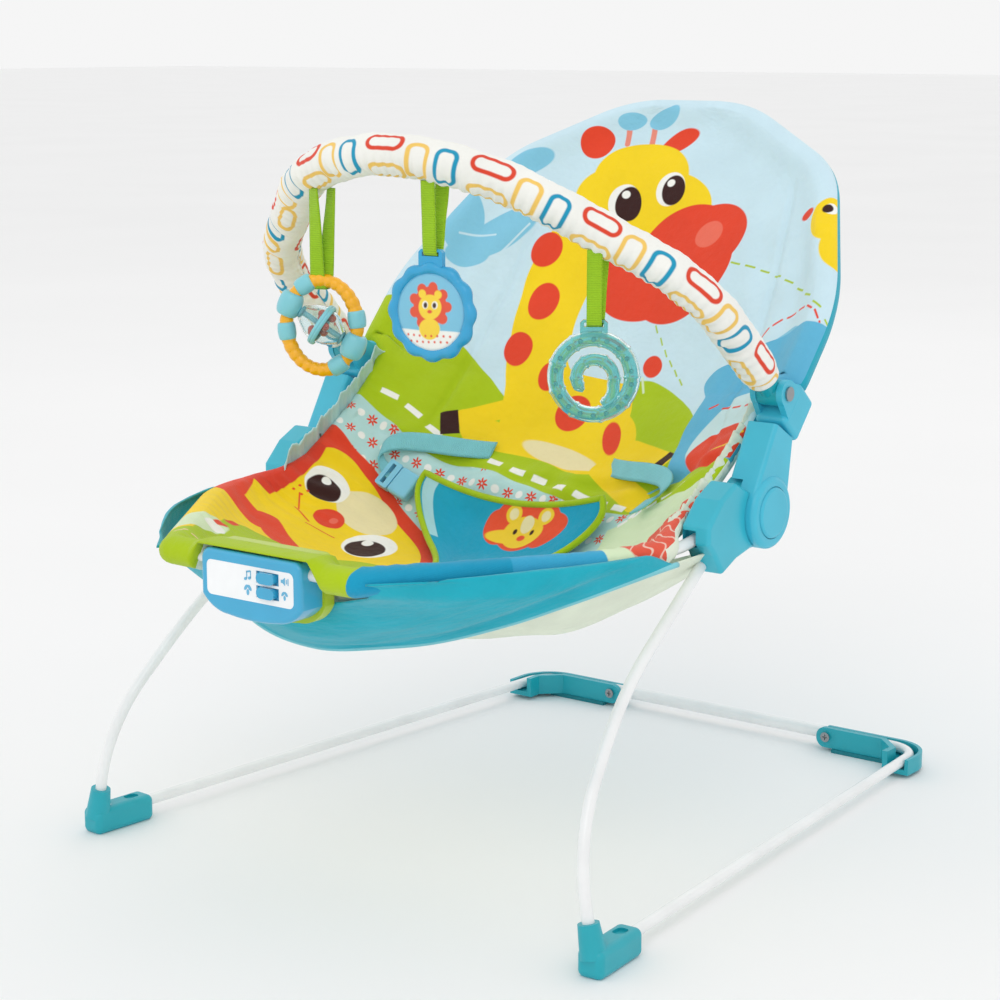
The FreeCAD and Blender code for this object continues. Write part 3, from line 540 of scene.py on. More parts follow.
def cover_shape():
    """The one padded cover: seat, side wings and backrest, with its edge rolled round the rods."""
    side, centre, radius, side_at, centre_at = match_rows()
    u = np.sin(np.linspace(-1, 1, COLS) * math.pi / 2 * 0.86) / math.sin(math.pi / 2 * 0.86)
    grid = np.zeros((ROWS, COLS, 3))
    power = 2.3 - 0.3 * ease(centre_at, 320, 480)
    bow = np.abs(u)[None, :] ** power[:, None]
    grid[..., 0] = side[:, :1] * u[None, :]
    for k in (1, 2):
        grid[..., k] = centre[:, None, k] + (side[:, None, k] - centre[:, None, k]) * bow
    normal = grid_normals(grid)
    steps = np.linalg.norm(np.diff(grid, axis=1), axis=2)
    run = np.concatenate([np.zeros((ROWS, 1)), np.cumsum(steps, axis=1)], axis=1)
    a = run - 0.5 * run[:, -1:]
    b = np.broadcast_to(centre_at[:, None], a.shape).copy()
    b = b + (side_at - centre_at)[:, None] * bow * 0.5
    to_side = side[:, :1] - np.abs(grid[..., 0])
    to_front = np.broadcast_to((b - b[0].min()), a.shape)
    rim = np.minimum(np.minimum(to_side, to_front), np.abs(centre_at[-1] - centre_at)[:, None] + 0 * a)
    lift = radius[:, None] * np.exp(-(rim / EDGE) ** 2) + 4.0 * (1 - np.exp(-(rim / EDGE) ** 2))
    return grid, normal, a, b, rim, lift, radius


def wrinkles(a, b, rim):
    """Height of the folds and gathers, in millimetres, over the cover."""
    edge = np.abs(a)
    seat = 1 - ease(b, 300, 360)
    back = ease(b, 330, 400)
    wing = bump(b, 290, 75)
    gather = np.sin(2 * math.pi * (b + 6 * soft_noise(a, b, 90)) / 15.0) * np.exp(-rim / 34.0)
    height = gather * (0.55 * seat + 1.7 * wing) * (1 - np.exp(-(rim / 5.0) ** 2) * 0.4)
    puff = soft_noise(a, b, 95)
    height += puff * (1.2 * seat + back) * (1 - np.exp(-(rim / 30.0) ** 2))
    folds = np.sin(2 * math.pi * (a + 8 * soft_noise(a * 0.4, b, 120)) / 34.0)
    height += folds * back * 1.2 * ease(edge, 70, 120) * (1 - ease(edge, 160, 190)) * bump(b, 470, 110)
    height += 2.2 * soft_noise(a, b, 42) * np.exp(-((b - 322) / 26.0) ** 2) * (1 - np.exp(-(rim / 14.0) ** 2))
    return height


def make_cover():
    grid, normal, a, b, rim, lift, radius = cover_shape()
    folds = wrinkles(a, b, rim)
    seams = 0
    for line in (SEAM_LEFT, SEAM_RIGHT):
        seams = (seams - 2.6 * np.exp(-((a - np.interp(b, line[0], line[1])) / 3.2) ** 2) * ease(b, 330, 380)
                 * (1 - ease(b, 560, 585)))
    bottom_seam = -3.0 * np.exp(-((b - 330) / 4.0) ** 2) * (rim > 6)
    top = grid + normal * (lift + folds + seams + bottom_seam)[..., None]
    low = grid - normal * (radius[:, None] * np.exp(-(rim / EDGE) ** 2)
                           + 9.0 * (1 - np.exp(-(rim / EDGE) ** 2))
                           - 0.6 * folds)[..., None]
    rows, cols = ROWS, COLS
    ring = [(0, j) for j in range(cols)] + [(i, cols - 1) for i in range(1, rows)]
    ring += [(rows - 1, j) for j in range(cols - 2, -1, -1)] + [(i, 0) for i in range(rows - 2, 0, -1)]
    index = np.array(ring)
    middle = grid[index[:, 0], index[:, 1]]
    n = normal[index[:, 0], index[:, 1]]
    tangent = np.roll(middle, -1, 0) - np.roll(middle, 1, 0)
    for _ in range(3):
        tangent = (np.roll(tangent, 1, 0) + 2 * tangent + np.roll(tangent, -1, 0)) / 4
    tangent /= np.linalg.norm(tangent, axis=1, keepdims=True)
    out = np.cross(tangent, n)
    out /= np.linalg.norm(out, axis=1, keepdims=True)
    r = radius[index[:, 0]]
    top_rim = top[index[:, 0], index[:, 1]]
    low_rim = low[index[:, 0], index[:, 1]]
    strips = []
    uvs = []
    ab = np.stack([a, b], 2)
    rim_ab = ab[index[:, 0], index[:, 1]]
    da = np.gradient(grid, axis=1)[index[:, 0], index[:, 1]]
    db = np.gradient(grid, axis=0)[index[:, 0], index[:, 1]]
    da /= np.linalg.norm(da, axis=1, keepdims=True)
    db /= np.linalg.norm(db, axis=1, keepdims=True)
    way = np.column_stack([np.sum(out * da, 1), np.sum(out * db, 1)])
    for k in range(1, ROLL):
        turn = math.pi * k / ROLL
        blend_share = k / ROLL
        base = top_rim * (1 - blend_share) + low_rim * blend_share
        round_part = middle + (out * math.sin(turn) + n * math.cos(turn)) * r[:, None]
        straight = middle + n * (math.cos(turn) * r)[:, None]
        strips.append(round_part + (base - straight) * (1 - math.sin(turn)) * 0.5)
        uvs.append(rim_ab + way * (turn * r)[:, None])
    count = len(ring)
    cells = rows * cols
    verts = np.vstack([top.reshape(-1, 3)] + strips + [low.reshape(-1, 3)])
    uv = np.vstack([ab.reshape(-1, 2)] + uvs + [ab.reshape(-1, 2)])
    front = (verts[:, 1] < -35) & (np.abs(verts[:, 0]) < 58)
    over_unit = np.clip(1 - (np.abs(verts[:, 0]) - 47) / 9, 0, 1) * np.clip((-35 - verts[:, 1]) / 6, 0, 1)
    floor_z = 249.8 + 0.16 * (verts[:, 2] - 239)
    verts[:, 2] = np.where(front, verts[:, 2] + np.maximum(floor_z - verts[:, 2], 0) * over_unit, verts[:, 2])
    faces = grid_faces(rows, cols)
    first = lambda m: m[0] * cols + m[1]
    tops = [first(m) for m in ring]
    lows = [cells + (ROLL - 1) * count + first(m) for m in ring]
    layers = [tops] + [[cells + k * count + i for i in range(count)] for k in range(ROLL - 1)] + [lows]
    for upper, lower in zip(layers, layers[1:]):
        for i in range(count):
            j = (i + 1) % count
            faces.append((upper[j], upper[i], lower[i], lower[j]))
    faces += grid_faces(rows, cols, cells + (ROLL - 1) * count, flip=True)
    metres = verts * 0.001
    metres[:, 1] += FOOT_Y
    obj = object_from("seat_cover", metres, faces, uv * 0.001)
    under = np.zeros(len(faces), np.int32)
    late_from = np.where(middle[:, 1] < -15, 0.95, np.where(middle[:, 1] < 118, 0.75, 0.5)) * ROLL
    late = np.arange(ROLL)[:, None] >= late_from[None, :]
    under[((rows - 1) * (cols - 1) + np.arange(ROLL * count)).reshape(ROLL, count)[late]] = 1
    under[(rows - 1) * (cols - 1) + ROLL * count:] = 1
    obj.data.polygons.foreach_set("material_index", under)
    return obj


SEAM_LEFT = ([330, 640], [-118, -96])     # along and across the cloth
SEAM_RIGHT = ([330, 640], [150, 120])
cover = make_cover()


# ---------------------------------------------------------------- printed fabric
SKY = "#CFEAF5"
YELLOW = "#FCD913"
RED = "#EA4426"
LIME = "#AFCB08"
AQUA = "#BCE3E2"
LEAF = "#86CBE6"
BROWN = "#35110E"
WHITE = "#FBFBF6"
CREAM = "#F4E7B4"
BLUE = "#0E9CC4"
PALE_GREEN = "#DDEFC8"


class Print(Paint):
    """A printed cloth: shapes are placed in millimetres across (a) and along (b) the cloth."""

    def __init__(self, name, base, window=(-300, 300, -100, 900)):
        super().__init__(name, base)
        self.window = window
        scaled = self.node("ShaderNodeVectorMath", operation="SCALE")
        self.put(scaled.inputs[0], self.uv())
        scaled.inputs["Scale"].default_value = 1000.0
        self.plain = scaled.outputs[0]
        self.v = self.wobble(self.plain, 28.0, 2.2)
        self.a, self.b = self.split(self.v)
        self.soft = 0.45

    def near(self, b0, b1, a0=-300, a1=300):
        """Whether this piece of the cloth can show anything in the given area."""
        left, right, low, high = self.window
        return b0 < high and b1 > low and a0 < right and a1 > left

    def below(self, value, limit, soft=None):
        return super().below(value, limit, self.soft if soft is None else soft)

    def ellipse(self, vector, x, y, rx, ry, turn=0.0):
        spot = self.local(vector, x, y, turn, rx, ry)
        return self.below(self.length(spot), 1.0, self.soft / min(rx, ry))

    def under_line(self, points, low=-260.0, high=260.0, top=800.0):
        """The region with b below a curve over a."""
        return self.below(self.b, self.curve(self.a, points, (low, high), (0.0, top)))

    def draw(self, shapes, clip=None):
        """Paint a list of shapes: e ellipse, c stroke, s bar; then colour, centre, sizes and turn."""
        for kind, color, x, y, size, other, turn in shapes:
            reach = size + other + 4.0
            if not self.near(y - reach, y + reach, x - reach, x + reach):
                continue
            maker = {"e": self.ellipse, "c": self.capsule, "s": self.slab}[kind]
            mask = maker(self.v, x, y, size, other, turn)
            self.fill(color, mask if clip is None else self.both(mask, clip))

    def flowers(self, clip, color=RED, pitch=21.0, petals=7, radius=4.6, white=True):
        """Small flowers in staggered rows with white blobs between them, inside a region."""
        for shift, tint, kind in ((0.0, color, "flower"), (0.5, WHITE, "blob")):
            if kind == "blob" and not white:
                continue
            a, b = self.split(self.plain)
            row = self.math("DIVIDE", b, pitch * 0.86)
            row_number = self.math("FLOOR", row)
            odd = self.math("MULTIPLY", self.math("MODULO", row_number, 2.0), 0.5)
            column = self.math("ADD", self.math("DIVIDE", a, pitch), self.math("ADD", odd, shift))
            x = self.math("MULTIPLY", self.math("SUBTRACT", self.math("FRACT", self.math("ADD", column,
                                                                                         40.0)), 0.5), pitch)
            y = self.math("MULTIPLY", self.math("SUBTRACT", self.math("FRACT", row), 0.5), pitch * 0.86)
            far = self.math("SQRT", self.math("ADD", self.math("MULTIPLY", x, x), self.math("MULTIPLY", y,
                                                                                            y)))
            if kind == "flower":
                angle = self.math("ARCTAN2", y, x)
                petal = self.math("COSINE", self.math("MULTIPLY", angle, float(petals)))
                edge = self.math("MULTIPLY_ADD", petal, 0.32 * radius, 0.72 * radius)
                mask = self.below(far, edge)
                mask = self.both(mask, self.math("SUBTRACT", 1.0, self.below(far, 0.8)))
            else:
                mask = self.below(far, 3.1)
            self.fill(tint, self.both(mask, clip))


def cover_material(name, window):
    p = Print(name, SKY, window)
    # upper backrest: leaves, hills and a spotted long-necked animal
    p.draw([
        ("e", LEAF, -130, 585, 24, 9, 40), ("e", LEAF, -166, 520, 23, 17, 100), ("e", LEAF, -132, 524, 38, 14,
                                                                                 45),
        ("c", SKY, -150, 516, 16, 0.7, 20), ("c", SKY, -118, 522, 20, 0.7, 60), ("c", SKY, -124, 508, 16, 0.7,
                                                                                 35),
        ("e", LEAF, -152, 500, 20, 10, 20),
    ])
    if p.near(300, 455):
        hills = p.under_line([(-260, 428), (-190, 446), (-163, 442), (-130, 433), (-98, 418), (-69, 398),
                              (-20, 385),
                              (20, 415), (40, 427), (66, 424), (100, 401), (125, 378), (160, 350),
                              (260, 335)])
        p.fill(LIME, hills)
    p.draw([
        ("s", WHITE, -157, 362, 8, 2.6, 6), ("s", WHITE, -133, 358, 8, 2.6, -14), ("s", WHITE, -109, 350, 8,
                                                                                   2.6, -18),
        ("c", YELLOW, -74, 382, 22, 8, 33), ("s", BROWN, -101, 362, 11, 8, 120),
        ("e", YELLOW, -60, 360, 32, 16, -10),
    ])
    # neck: a wide stroke that narrows to the head, body below
    if p.near(335, 565, -110, 110):
        neck_left = p.curve(p.b, [(300, -30), (346, -56), (378, -64), (406, -72), (438, -83), (482, -92),
                                  (513, -93),
                                  (538, -86), (575, -74), (640, -60)], (300, 640), (-140, 140))
        neck_right = p.curve(p.b, [(300, 96), (330, 100), (352, 72), (380, 52), (405, 46), (423, 34),
                                   (434, -24),
                                   (458, -34), (500, -36), (560, -10), (640, 0)], (300, 640), (-140, 140))
        neck = p.both(p.below(neck_left, p.a), p.below(p.a, neck_right), p.below(p.b, 560.0),
                      p.below(342.0, p.b))
        p.fill(YELLOW, neck)
    p.draw([
        ("e", YELLOW, 20, 372, 46, 34, -10), ("c", YELLOW, 70, 332, 34, 9.5, -33), ("c", YELLOW, 84, 358, 20,
                                                                                    9, -21),
        ("s", BROWN, 104, 348, 11, 4.5, 62), ("e", CREAM, 4, 356, 40, 9, -14),
        ("e", RED, -85, 525, 15, 12, 55), ("e", RED, -71, 485, 13, 16, 0), ("e", RED, -75, 441, 12, 15, 20),
        ("e", RED, -38, 424, 10, 13, 10), ("e", RED, -5, 396, 15, 16, 30), ("e", RED, 41, 376, 17, 8, -63),
        ("e", RED, 48, 441, 8, 11, 30),
        ("c", PALE_GREEN, 47, 424, 7, 0.9, -60), ("c", PALE_GREEN, 34, 414, 8, 0.9, 20),
    ])
    # head: round ears, two short horns, wide face and a large muzzle
    p.draw([
        ("c", "#F08F7C", -47, 637, 8, 2.6, -80), ("c", "#F08F7C", -23, 638, 8, 2.6, -80),
        ("e", LEAF, -47, 655, 14, 11, 30), ("e", LEAF, -17, 655, 14, 11, 12),
        ("e", RED, -74, 625, 17, 15, 40), ("e", RED, 3, 633, 18, 8.5, 35),
        ("e", YELLOW, -22, 598, 45, 33, 0), ("e", YELLOW, -20, 570, 58, 36, -14), ("e", YELLOW, 22, 582, 32,
                                                                                   20, -30),
        ("e", RED, 40, 528, 46, 50, 8), ("e", RED, 58, 548, 34, 28, 0), ("e", RED, 0, 508, 40, 26, -25),
        ("e", "#F2705A", 58, 551, 12, 11, 0),
        ("e", WHITE, 9, 592, 14, 13, -75), ("e", BROWN, 12, 591, 12.5, 10.5, -73), ("e", WHITE, 8, 597, 3.6,
                                                                                    3, 0),
        ("e", WHITE, -31, 578, 15, 14, -70), ("e", BROWN, -26, 577, 14.5, 12, -71), ("e", WHITE, -31, 584, 4,
                                                                                     3.4, 0),
    ])
    # right side: small bird, stitched curves, ring of short strokes
    bird = [
        ("e", YELLOW, 182, 534, 24, 17, 150), ("e", YELLOW, 202, 512, 26, 20, -30), ("e", RED, 152, 545, 7,
                                                                                     3.6, 0),
        ("e", WHITE, 175, 543, 6, 4.4, -20), ("e", BROWN, 172, 543, 4.6, 3.4, -20), ("e", LEAF, 172, 438, 19,
                                                                                     17, 0),
    ]
    for k in range(9):
        t = k / 8
        bird.append(("c", LIME, 92 + 118 * t, 523 - 36 * t - 34 * t * t, 4.5, 0.7, -18 - 14 * t))
    for k in range(6):
        t = k / 5
        bird.append(("c", LIME, 38 + 42 * t, 474 - 54 * t + 8 * t * t, 3.4, 0.6, -58 + 10 * t))
    for k in range(9):
        turn = 20 + 20 * k
        x, y = 172 + 34 * math.cos(math.radians(turn)), 440 + 28 * math.sin(math.radians(turn))
        bird.append(("c", RED, x, y, 3.6, 0.8, turn + 90))
    p.draw(bird)
    # right wing: blue path, pale patch with a red leaf, lime band
    if p.near(320, 456, 90, 300):
        wing_edge = p.curve(p.b, [(322, 100), (336, 112), (360, 110), (380, 108), (407, 113), (428, 104),
                                  (440, 124),
                                  (460, 230)], (322, 460), (60, 260))
        wing = p.both(p.below(wing_edge, p.a), p.below(p.b, 452.0), p.below(322.0, p.b))
        p.fill("#62B9DD", wing)
    p.draw([("e", "#CDE9EC", 168, 368, 46, 34, 20), ("e", RED, 160, 347, 33, 21, -10),
            ("c", YELLOW, 166, 345, 20, 1.4, 8), ("c", YELLOW, 176, 350, 8, 1.0, 50)])
    for k in range(5):
        p.draw([("c", RED, 128 + 14 * k, 396 - 4 * k, 3.2, 0.8, 20 - 12 * k)])
    # road with white dashes, then the strip of flowers and the flowered left side
    if p.near(290, 356, -66, 300):
        road = p.both(p.under_line([(-260, 330), (-60, 350), (-25, 352), (16, 342), (54, 330), (90, 318),
                                    (120, 330),
                                    (170, 328), (260, 330)]), p.below(-62.0, p.a))
        p.fill(LIME, road)
    p.draw([("e", CREAM, 2, 355, 38, 8, -14), ("c", YELLOW, 72, 330, 30, 9, -33)])
    p.draw([("s", WHITE, x, y, 6.5, 2.5, turn) for x, y, turn in
            ((-46, 340, -4), (-24, 337, -8), (-2, 332, -12), (22, 326, -14), (43, 321, -16), (64, 315, -16),
             (84, 309, -14))])
    if p.near(200, 356):
        meadow = p.under_line([(-260, 352), (-192, 349), (-160, 343), (-125, 333), (-92, 327), (-53, 332),
                               (-9, 325),
                               (48, 312), (88, 303), (110, 300), (150, 290), (200, 288), (260, 288)])
        p.fill(AQUA, meadow)
        p.flowers(meadow)
    if p.near(-100, 294, -75, 300):
        seat = p.under_line([(-260, 240), (-60, 240), (-20, 240), (40, 258), (90, 262), (130, 282),
                             (190, 290),
                             (260, 290)])
        p.fill(BLUE, p.both(seat, p.below(-70.0, p.a)))
    if p.near(210, 266, -90, 50):
        hem = p.ellipse(p.v, -20, 238, 62, 24, 4)
        p.fill(AQUA, hem)
        p.flowers(hem, pitch=13.0, radius=3.0, white=False)
    p.draw([("e", LIME, 2, 243, 34, 11, 8), ("e", "#3C7A34", 2, 243, 26, 5.5, 8)])
    # left seat: a sleeping cat-like face turned sideways
    if p.near(-100, 320, -300, 64):
        face = p.both(p.under_line([(-260, 200), (-199, 262), (-186, 276), (-164, 292), (-135, 285),
                                    (-104, 266),
                                    (-64, 244), (-40, 215), (0, 150), (90, 60), (260, 20)]),
                      p.below(p.a, 60.0))
        behind = p.both(p.under_line([(-260, 318), (-199, 312), (-180, 309), (-164, 304), (-135, 296),
                                      (-100, 277),
                                      (-60, 256), (-36, 228), (10, 150), (260, 10)]), p.below(p.a, -30.0))
        p.fill(RED, behind)
        p.fill(YELLOW, face)
    p.draw([
        ("c", RED, -196, 196, 16, 11, -60), ("c", RED, -168, 172, 22, 10, -12), ("c", RED, -120, 162, 34, 10,
                                                                                 -28),
        ("e", CREAM, -118, 254, 27, 20, -16),
        ("e", WHITE, -157, 257, 18, 17, 24), ("e", BROWN, -157, 252, 14, 12.5, 0), ("e", WHITE, -160, 260, 4,
                                                                                    4, 0),
        ("e", WHITE, -89, 219, 19, 22, 0), ("e", BROWN, -89, 214, 14, 16, 0), ("e", WHITE, -94, 224, 4, 5, 0),
        ("e", RED, -133, 228, 13, 12, 110), ("e", "#F2705A", -129, 229, 3, 4, 0),
        ("c", RED, -160, 226, 10, 0.6, -55), ("c", RED, -148, 214, 10, 0.6, -20), ("c", RED, -126, 208, 12,
                                                                                   0.6, 10),
    ])
    p.draw([("e", RED, -178 + 7 * (k % 3), 234 + 7 * (k // 3), 1.1, 1.1, 0) for k in range(6)])
    if p.near(-100, 190, -130, 90):
        lime_front = p.either(p.both(p.below(p.b, 44.0), p.below(-100.0, p.a), p.below(p.a, 80.0)),
                              p.capsule(p.v, -92, 92, 36, 30, 115), p.capsule(p.v, -60, 130, 40, 22, 95))
        p.fill(LIME, lime_front)
    # painted highlight: the pale green ellipse on the lime seat front is light painted into the cloth colour
    p.draw([("e", PALE_GREEN, -118, 62, 46, 12, 100), ("e", WHITE, -118, 84, 12, 7, 100),
            ("e", RED, -126, 100, 9, 3, 95), ("e", RED, -134, 122, 9, 3, 95)])
    p.draw([("c", "#F3C9B4", -92 + 9 * k, 22 + 5 * (k % 2), 3.5, 0.8, 70 - 40 * (k % 2)) for k in range(8)])
    # near rim: blue fold, light roll, pale patch, red ruched cloth with swirls, lime end
    if p.near(-100, 312, 68, 300):
        rim_side = p.below(72.0, p.a)
        p.fill(BLUE, p.both(rim_side, p.below(p.b, 100.0), p.below(12.0, p.b)))
        p.fill("#35A9D3", p.both(p.below(112.0, p.a), p.below(p.b, 166.0), p.below(98.0, p.b)))
        pale = p.both(p.below(88.0, p.a), p.below(160.0, p.b), p.below(p.b, p.curve(p.a, [
            (-260, 300), (80, 286), (120, 300), (160, 305), (260, 300)], (-260, 260), (0, 400))))
        p.fill(PALE_GREEN, pale)
        ruched = p.ellipse(p.v, 208, 248, 74, 42, 70)
        p.fill("#E9573E", ruched)
        a, b = p.split(p.plain)
        swirl = p.math("FRACT", p.math("DIVIDE", p.math("ADD", b, p.math("MULTIPLY", a, 0.4)), 14.0))
        ring = p.math("ABSOLUTE", p.math("SUBTRACT", p.math("SUBTRACT", swirl, 0.5),
                                         p.math("MULTIPLY", p.math("SINE", p.math("MULTIPLY", a, 0.5)),
                                                0.22)))
        p.fill("#F6C9B8", p.both(ruched, p.below(p.math("MULTIPLY", ring, 14.0), 1.1), p.below(180.0, p.a)))
    p.draw([("s", WHITE, 100 + 12 * k, 292 + 5 * k, 4.5, 1.4, 24) for k in range(5)])
    if p.near(208, 290, -300, -172):
        left_rim = p.both(p.below(p.a, -176.0), p.below(212.0, p.b))
        p.fill("#E0402A", p.both(left_rim, p.below(p.b, 286.0)))
    p.weave(p.uv(), 0.0011)
    p.vary(p.uv(), 0.05, 0.035)
    p.cloth(0.75, 0.15)
    return p.material


back_lining = plain_cloth("back_lining", "#19A9C0")
seat_lining = plain_cloth("seat_lining", "#E9F1DC")
WINDOWS = [  # left, right, low and high end of each part of the printed cloth
    (-300, 300, 560, 900), (-300, 300, 440, 560), (-300, 0, 300, 440), (0, 300, 300, 440),
    (-300, -40, -100, 300), (-40, 300, -100, 300),
]


def paint_cover():
    """Give the printed faces the material of their part of the cloth, and the rest the lining."""
    mesh = cover.data
    faces = len(mesh.polygons)
    is_under = np.empty(faces, np.int32)
    mesh.polygons.foreach_get("material_index", is_under)
    start = np.empty(faces, np.int32)
    mesh.polygons.foreach_get("loop_start", start)
    uv = np.empty(len(mesh.loops) * 2, np.float32)
    mesh.uv_layers["cloth"].data.foreach_get("uv", uv)
    place = uv.reshape(-1, 2)[start] * 1000.0
    index = np.zeros(faces, np.int32)
    for number, (left, right, low, high) in enumerate(WINDOWS):
        inside = (place[:, 0] >= left) & (place[:, 0] < right) & (place[:, 1] >= low) & (place[:, 1] < high)
        index[inside] = number
        mesh.materials.append(cover_material("cover_print_%d" % number, (left, right, low, high)))
    mesh.materials.append(back_lining)
    mesh.materials.append(seat_lining)
    index[is_under == 1] = len(WINDOWS)
    index[(is_under == 1) & (place[:, 1] < SEAM_LEFT[0][0])] = len(WINDOWS) + 1
    mesh.polygons.foreach_set("material_index", index)


paint_cover()
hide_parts("seat_pad", "backrest_pad", "seat_rolls", "seat_wings", "backrest_roll")
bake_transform(cover)


# ---------------------------------------------------------------- belly pocket under the seat
def rim_out(y):
    """Outer half width of the rolled seat edge, in millimetres, at a distance y from the front feet."""
    return np.interp(y, [-67, -57, -42, -28, -5, 15, 38, 66, 96, 124],
                     [84, 93, 106, 119, 138, 153, 167, 179, 189, 194])


def make_belly():
    """Smooth teal apron that leaves the outside of the seat rim and sags to a curved hem."""
    rows, cols = 60, 121
    side_y = np.linspace(-62, 124, rows)
    mid_y = np.interp(side_y, [-62, -34, -15, 15, 60, 95, 124], [-36, -31, -27, -20, -12, -7, -3])
    mid_z = np.interp(side_y, [-62, -34, -15, 15, 60, 95, 124], [212, 204, 198, 190, 181, 177, 174])
    u = np.linspace(-1, 1, cols)[None, :]
    half = rim_out(side_y)[:, None] + 1.2
    x = half * np.sin(u * math.pi / 2)
    top_z = 243.0 - 2.5 * (1 - ease(side_y, -30, 30)[:, None]) - 9.0 * ease(side_y, 96, 124)[:, None]
    share = np.abs(x / half) ** 1.7
    y = mid_y[:, None] + (side_y - mid_y)[:, None] * np.abs(u) ** 1.8
    z = mid_z[:, None] + (top_z - mid_z[:, None]) * share
    tuck = 9.0 * (1 - np.exp(-((1 - np.abs(x / half)) / 0.04) ** 2)) * (1 - ease(side_y, 50, 105)[:, None])
    z -= tuck * share
    grid = np.stack([x + 0 * y, y, z], 2)
    a = u * half
    b = side_y[:, None] + 0 * u
    puff = soft_noise(a, b, 110) * 1.6 + soft_noise(a, b, 40) * 0.35
    grid += grid_normals(grid) * (puff * (1 - share))[..., None]
    under_unit = np.clip((56 - np.abs(grid[..., 0])) / 10, 0, 1) * np.clip((-36 - grid[..., 1]) / 6, 0, 1)
    grid[..., 1] = grid[..., 1] + np.maximum(-36.5 - grid[..., 1], 0) * under_unit
    return grid, np.stack([a, b], 2)


def sheet_object(name, grid, uv, thickness=1.2):
    """A thin closed sheet in the row frame, from a grid in millimetres."""
    metres = row_metres(grid)
    return padded_sheet(name, metres, np.full(grid.shape[:2], thickness * 0.001), uv * 0.001)


def ribbon(name, line, side, width, thickness, uv_scale=1.0):
    """Flat webbing along a line; side is the direction of its width at each point, in millimetres."""
    line = np.array(line, float)
    side = np.array(side, float)
    side /= np.linalg.norm(side, axis=1, keepdims=True)
    along = lengths(line)
    across = np.linspace(-0.5, 0.5, 7) * width
    grid = line[:, None] + side[:, None] * across[None, :, None]
    uv = np.stack(np.broadcast_arrays(across[None, :], along[:, None]), 2) * uv_scale
    return sheet_object(name, grid, uv, thickness)


def cloth_tube(name, line, radius, around=12):
    """A cord-like round binding along a line in millimetres."""
    line = np.array(line, float)
    run = lengths(line)
    grid = row_metres(tube_grid(line, radius, around))
    turn = np.linspace(0, 2 * math.pi * radius, around, endpoint=False) * 0.001
    uv = np.stack(np.broadcast_arrays(turn[None, :], run[:, None] * 0.001), 2)
    return tube_object(name, grid, uv)


def webbing(name, code):
    """Ribbed woven tape."""
    p = Print(name, code)
    ribs = p.math("SINE", p.math("MULTIPLY", p.split(p.plain)[1], 2 * math.pi / 1.5))
    first = p.bump(ribs, 0.0003, 0.6)
    threads = p.math("SINE", p.math("MULTIPLY", p.split(p.plain)[0], 2 * math.pi / 1.0))
    p.bump(threads, 0.00012, 0.4, first)
    p.vary(p.uv(), 0.02, 0.06)
    p.cloth(0.7, 0.2)
    return p.material


TEAL_CLOTH = plain_cloth("teal_cloth", "#14AFC4")
LIME_BINDING = plain_cloth("lime_binding", "#A8C80E", 0.0012)
AQUA_BINDING = plain_cloth("aqua_binding", "#7FCFDA", 0.0012)
AQUA_WEB = webbing("aqua_webbing", "#84D2DC")
LIME_WEB = webbing("lime_webbing", "#9CCB1E")
CREAM_CLOTH = plain_cloth("cream_cloth", "#E9F1DC")

belly_grid, belly_uv = make_belly()
belly = add_piece(sheet_object("belly_pocket", belly_grid, belly_uv), "base",
                  [TEAL_CLOTH, TEAL_CLOTH],
                  ["underside_pocket"])
hem = add_piece(cloth_tube("belly_hem", belly_grid[-1] + np.array([0, 0.4, -0.4]), 1.9), "base",
                AQUA_BINDING)


def make_sling():
    """Cream seat underside that sags between the side rods behind the teal apron."""
    rows, cols = 50, 81
    y = np.linspace(34, 222, rows)[:, None]
    u = np.linspace(-1, 1, cols)[None, :]
    half = rim_out(np.minimum(y, 124)) - 5.0
    depth = np.interp(y, [34, 60, 100, 150, 190, 210, 222], [6, 24, 33, 34, 32, 24, 15])
    x = half * np.sin(u * math.pi / 2)
    floor = np.interp(y, [34, 60, 100, 150, 190, 210, 222], [203, 196, 190, 185, 187, 196, 205])
    share = 1 - np.abs(x / half) ** 2.6
    z = 233.0 + (floor - depth + 8.0 - 233.0) * share
    x, y, z = np.broadcast_arrays(x, y, z)
    grid = np.stack([x, y, z], 2)
    folds = soft_noise(x, y, 60) * 1.4 + soft_noise(x * 0.3, y, 16) * 0.8 * np.abs(u) ** 2
    grid = grid + grid_normals(grid) * (folds * share)[..., None]
    return grid, np.stack([x, y], 2)


sling_grid, sling_uv = make_sling()
sling = add_piece(sheet_object("seat_sling", sling_grid, sling_uv), "base",
                  [CREAM_CLOTH, CREAM_CLOTH])


# ---------------------------------------------------------------- crotch pad, webbing and wing elastic
PAD_ROWS = np.array([(112, 197, 24, 1), (150, 196.5, 25, 1), (166, 198.5, 38, 4), (180, 203, 58, 8),
                     (192, 212, 75, 14), (201, 225, 84, 16), (206, 239, 80, 13)], float)


